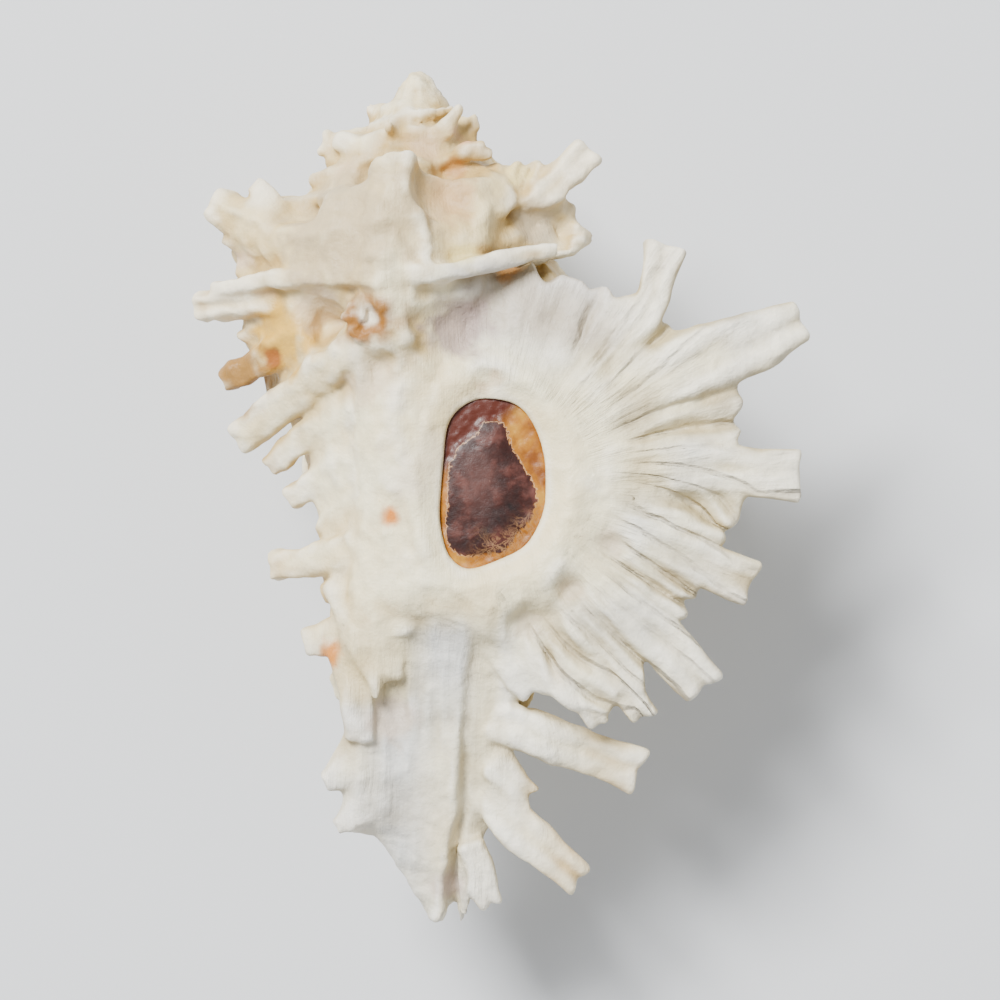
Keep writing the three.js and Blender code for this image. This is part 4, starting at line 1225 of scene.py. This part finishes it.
# ---- settings ----
class MurexShellSettings(bpy.types.PropertyGroup):
    cord_height: bpy.props.FloatProperty(
        name="Cord height", description="Height of the spiral cords, in millimetres at full size",
        default=0.55, min=0, max=2)
    fold: bpy.props.FloatProperty(
        name="Fold depth", description="Depth of the folds in the outer lip, in millimetres",
        default=0.6, min=0, max=2)
    step: bpy.props.FloatProperty(
        name="Step", description="Spacing of the block that the shell is modelled in, in millimetres",
        default=0.16, min=0.1, max=0.6)
    faces: bpy.props.IntProperty(
        name="Triangles", description="Most triangles that the shell keeps",
        default=190000, min=1000, max=199000)
    chalk_hex: bpy.props.StringProperty(
        name="Chalk", description="Colour of clean worn shell, sRGB hex", default="#f6ecc6")
    cream_hex: bpy.props.StringProperty(
        name="Cream", description="Colour of older, yellowed shell, sRGB hex", default="#ead8a6")
    sheet_hex: bpy.props.StringProperty(
        name="Sheet", description="Colour of thin translucent shell, sRGB hex", default="#e2dcc6")
    canal_hex: bpy.props.StringProperty(
        name="Canal", description="Colour of the bluish shell of the canal, sRGB hex", default="#d3d5d5")


class MurexStageSettings(bpy.types.PropertyGroup):
    floor_hex: bpy.props.StringProperty(
        name="Floor", description="Colour of the floor, sRGB hex", default="#cdcfd1")
    light: bpy.props.FloatProperty(
        name="Light", description="Factor on the power of every lamp", default=1.0, min=0)
    camera_height: bpy.props.FloatProperty(
        name="Camera height", description="Lens above the shell's lip, in metres",
        default=0.30, min=0.1, unit="LENGTH")


# ---- operators ----
class MUREX_OT_shell(bpy.types.Operator):
    """Models the shell as one closed surface and paints it"""
    bl_idname = "murex.shell"
    bl_label = "Shell"

    def execute(self, context):
        settings = context.scene.murex_shell
        noise = Noise(11)
        step = settings.step
        clay = model_shell(step, settings.cord_height, settings.fold)
        points, quads = largest_part(*clay.surface())
        if signed_volume(points, quads) < 0:
            quads = quads[:, ::-1]
        points = carve_detail(points, vertex_normals(points, quads), noise)
        shell = new_mesh("murex_shell", points, quads.tolist())
        context.view_layer.objects.active = shell
        thin = shell.modifiers.new("thin", "DECIMATE")
        thin.ratio = min(1.0, settings.faces / (2 * len(quads)))
        bpy.ops.object.modifier_apply(modifier="thin")
        paint_shell(shell.data, clay, settings, noise)
        shell.data.materials.append(shell_material())
        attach(shell, "root")
        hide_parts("shell")
        return {"FINISHED"}


class MUREX_OT_operculum(bpy.types.Operator):
    """Models the horny plate that closes the mouth"""
    bl_idname = "murex.operculum"
    bl_label = "Operculum"

    def execute(self, context):
        around_count, rings = 240, 60
        centre = np.array([-0.6, 1.1])
        share = np.linspace(0, 1, rings + 1)[1:, None, None]
        flat = (centre + (closed_curve(OPERCULUM_OUTLINE, around_count) - centre) * share).reshape(-1, 2)
        top, marks = operculum_relief(flat)
        below = OPERCULUM_TOP - OPERCULUM_THICK
        hubs = np.array([[*centre, top[:around_count].mean()], [*centre, below]])
        face, back = (np.column_stack([flat, height]) for height in (top, np.full(len(flat), below)))
        points = np.vstack([face, back, hubs])
        plate = new_mesh("operculum_plate", points, plate_faces(around_count, rings))
        face_outward(context, plate)
        for name, values in marks:
            carry(plate.data, name, "FLOAT", np.concatenate([values, values, [1, 1]]))
        plate.data.materials.append(operculum_material())
        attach(plate, "root")
        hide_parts("operculum")
        return {"FINISHED"}


class MUREX_OT_stage(bpy.types.Operator):
    """Sets out a plain floor, soft lights and a camera above the shell"""
    bl_idname = "murex.stage"
    bl_label = "Stage"

    def execute(self, context):
        settings = context.scene.murex_stage
        bpy.ops.mesh.primitive_plane_add(size=FLOOR_SIZE, location=(0, 0, 0))
        floor = context.active_object
        floor.name = "floor"
        floor.data.materials.append(floor_material(settings.floor_hex))
        for name, place, size, power in LAMPS:
            lamp = bpy.data.lights.new(name, "AREA")
            lamp.size = size
            lamp.energy = power * settings.light
            thing = bpy.data.objects.new(name, lamp)
            context.collection.objects.link(thing)
            thing.location = place
            thing.rotation_euler = (Vector(LIT_POINT) - thing.location).to_track_quat("-Z", "Y").to_euler()
        world = bpy.data.worlds.new("studio")
        world.use_nodes = True
        background = world.node_tree.nodes["Background"]
        background.inputs["Color"].default_value = linear(SKY_HEX)
        background.inputs["Strength"].default_value = SKY_STRENGTH
        context.scene.world = world
        camera = bpy.data.cameras.new("camera")
        camera.sensor_width = SENSOR_WIDTH
        camera.lens = SENSOR_WIDTH * settings.camera_height / (VIEW_WIDTH * MM)
        camera.clip_start = 0.01
        eye = bpy.data.objects.new("camera", camera)
        context.collection.objects.link(eye)
        eye.location = (0, 0, settings.camera_height + LIP_HEIGHT * MM)
        context.scene.camera = eye
        return {"FINISHED"}


class MUREX_PT_panel(bpy.types.Panel):
    """Lists the shell's operators and settings"""
    bl_label = "Murex shell"
    bl_idname = "MUREX_PT_panel"
    bl_space_type = "VIEW_3D"
    bl_region_type = "UI"
    bl_category = "Murex"

    def draw(self, context):
        for group, operator in ((context.scene.murex_shell, "murex.shell"), (None, "murex.operculum"),
                                (context.scene.murex_stage, "murex.stage")):
            if group:
                for name in group.__annotations__:
                    self.layout.prop(group, name)
            self.layout.operator(operator)


CLASSES = (
    MurexShellSettings, MurexStageSettings,
    MUREX_OT_shell, MUREX_OT_operculum, MUREX_OT_stage, MUREX_PT_panel,
)


def register():
    for cls in CLASSES:
        bpy.utils.register_class(cls)
    bpy.types.Scene.murex_shell = bpy.props.PointerProperty(type=MurexShellSettings)
    bpy.types.Scene.murex_stage = bpy.props.PointerProperty(type=MurexStageSettings)


def unregister():
    del bpy.types.Scene.murex_stage
    del bpy.types.Scene.murex_shell
    for cls in reversed(CLASSES):
        bpy.utils.unregister_class(cls)


def main():
    register()
    bpy.ops.object.select_all(action="DESELECT")
    bpy.ops.murex.shell()
    bpy.ops.murex.operculum()
    bpy.ops.murex.stage()


if __name__ == "__main__":
    main()
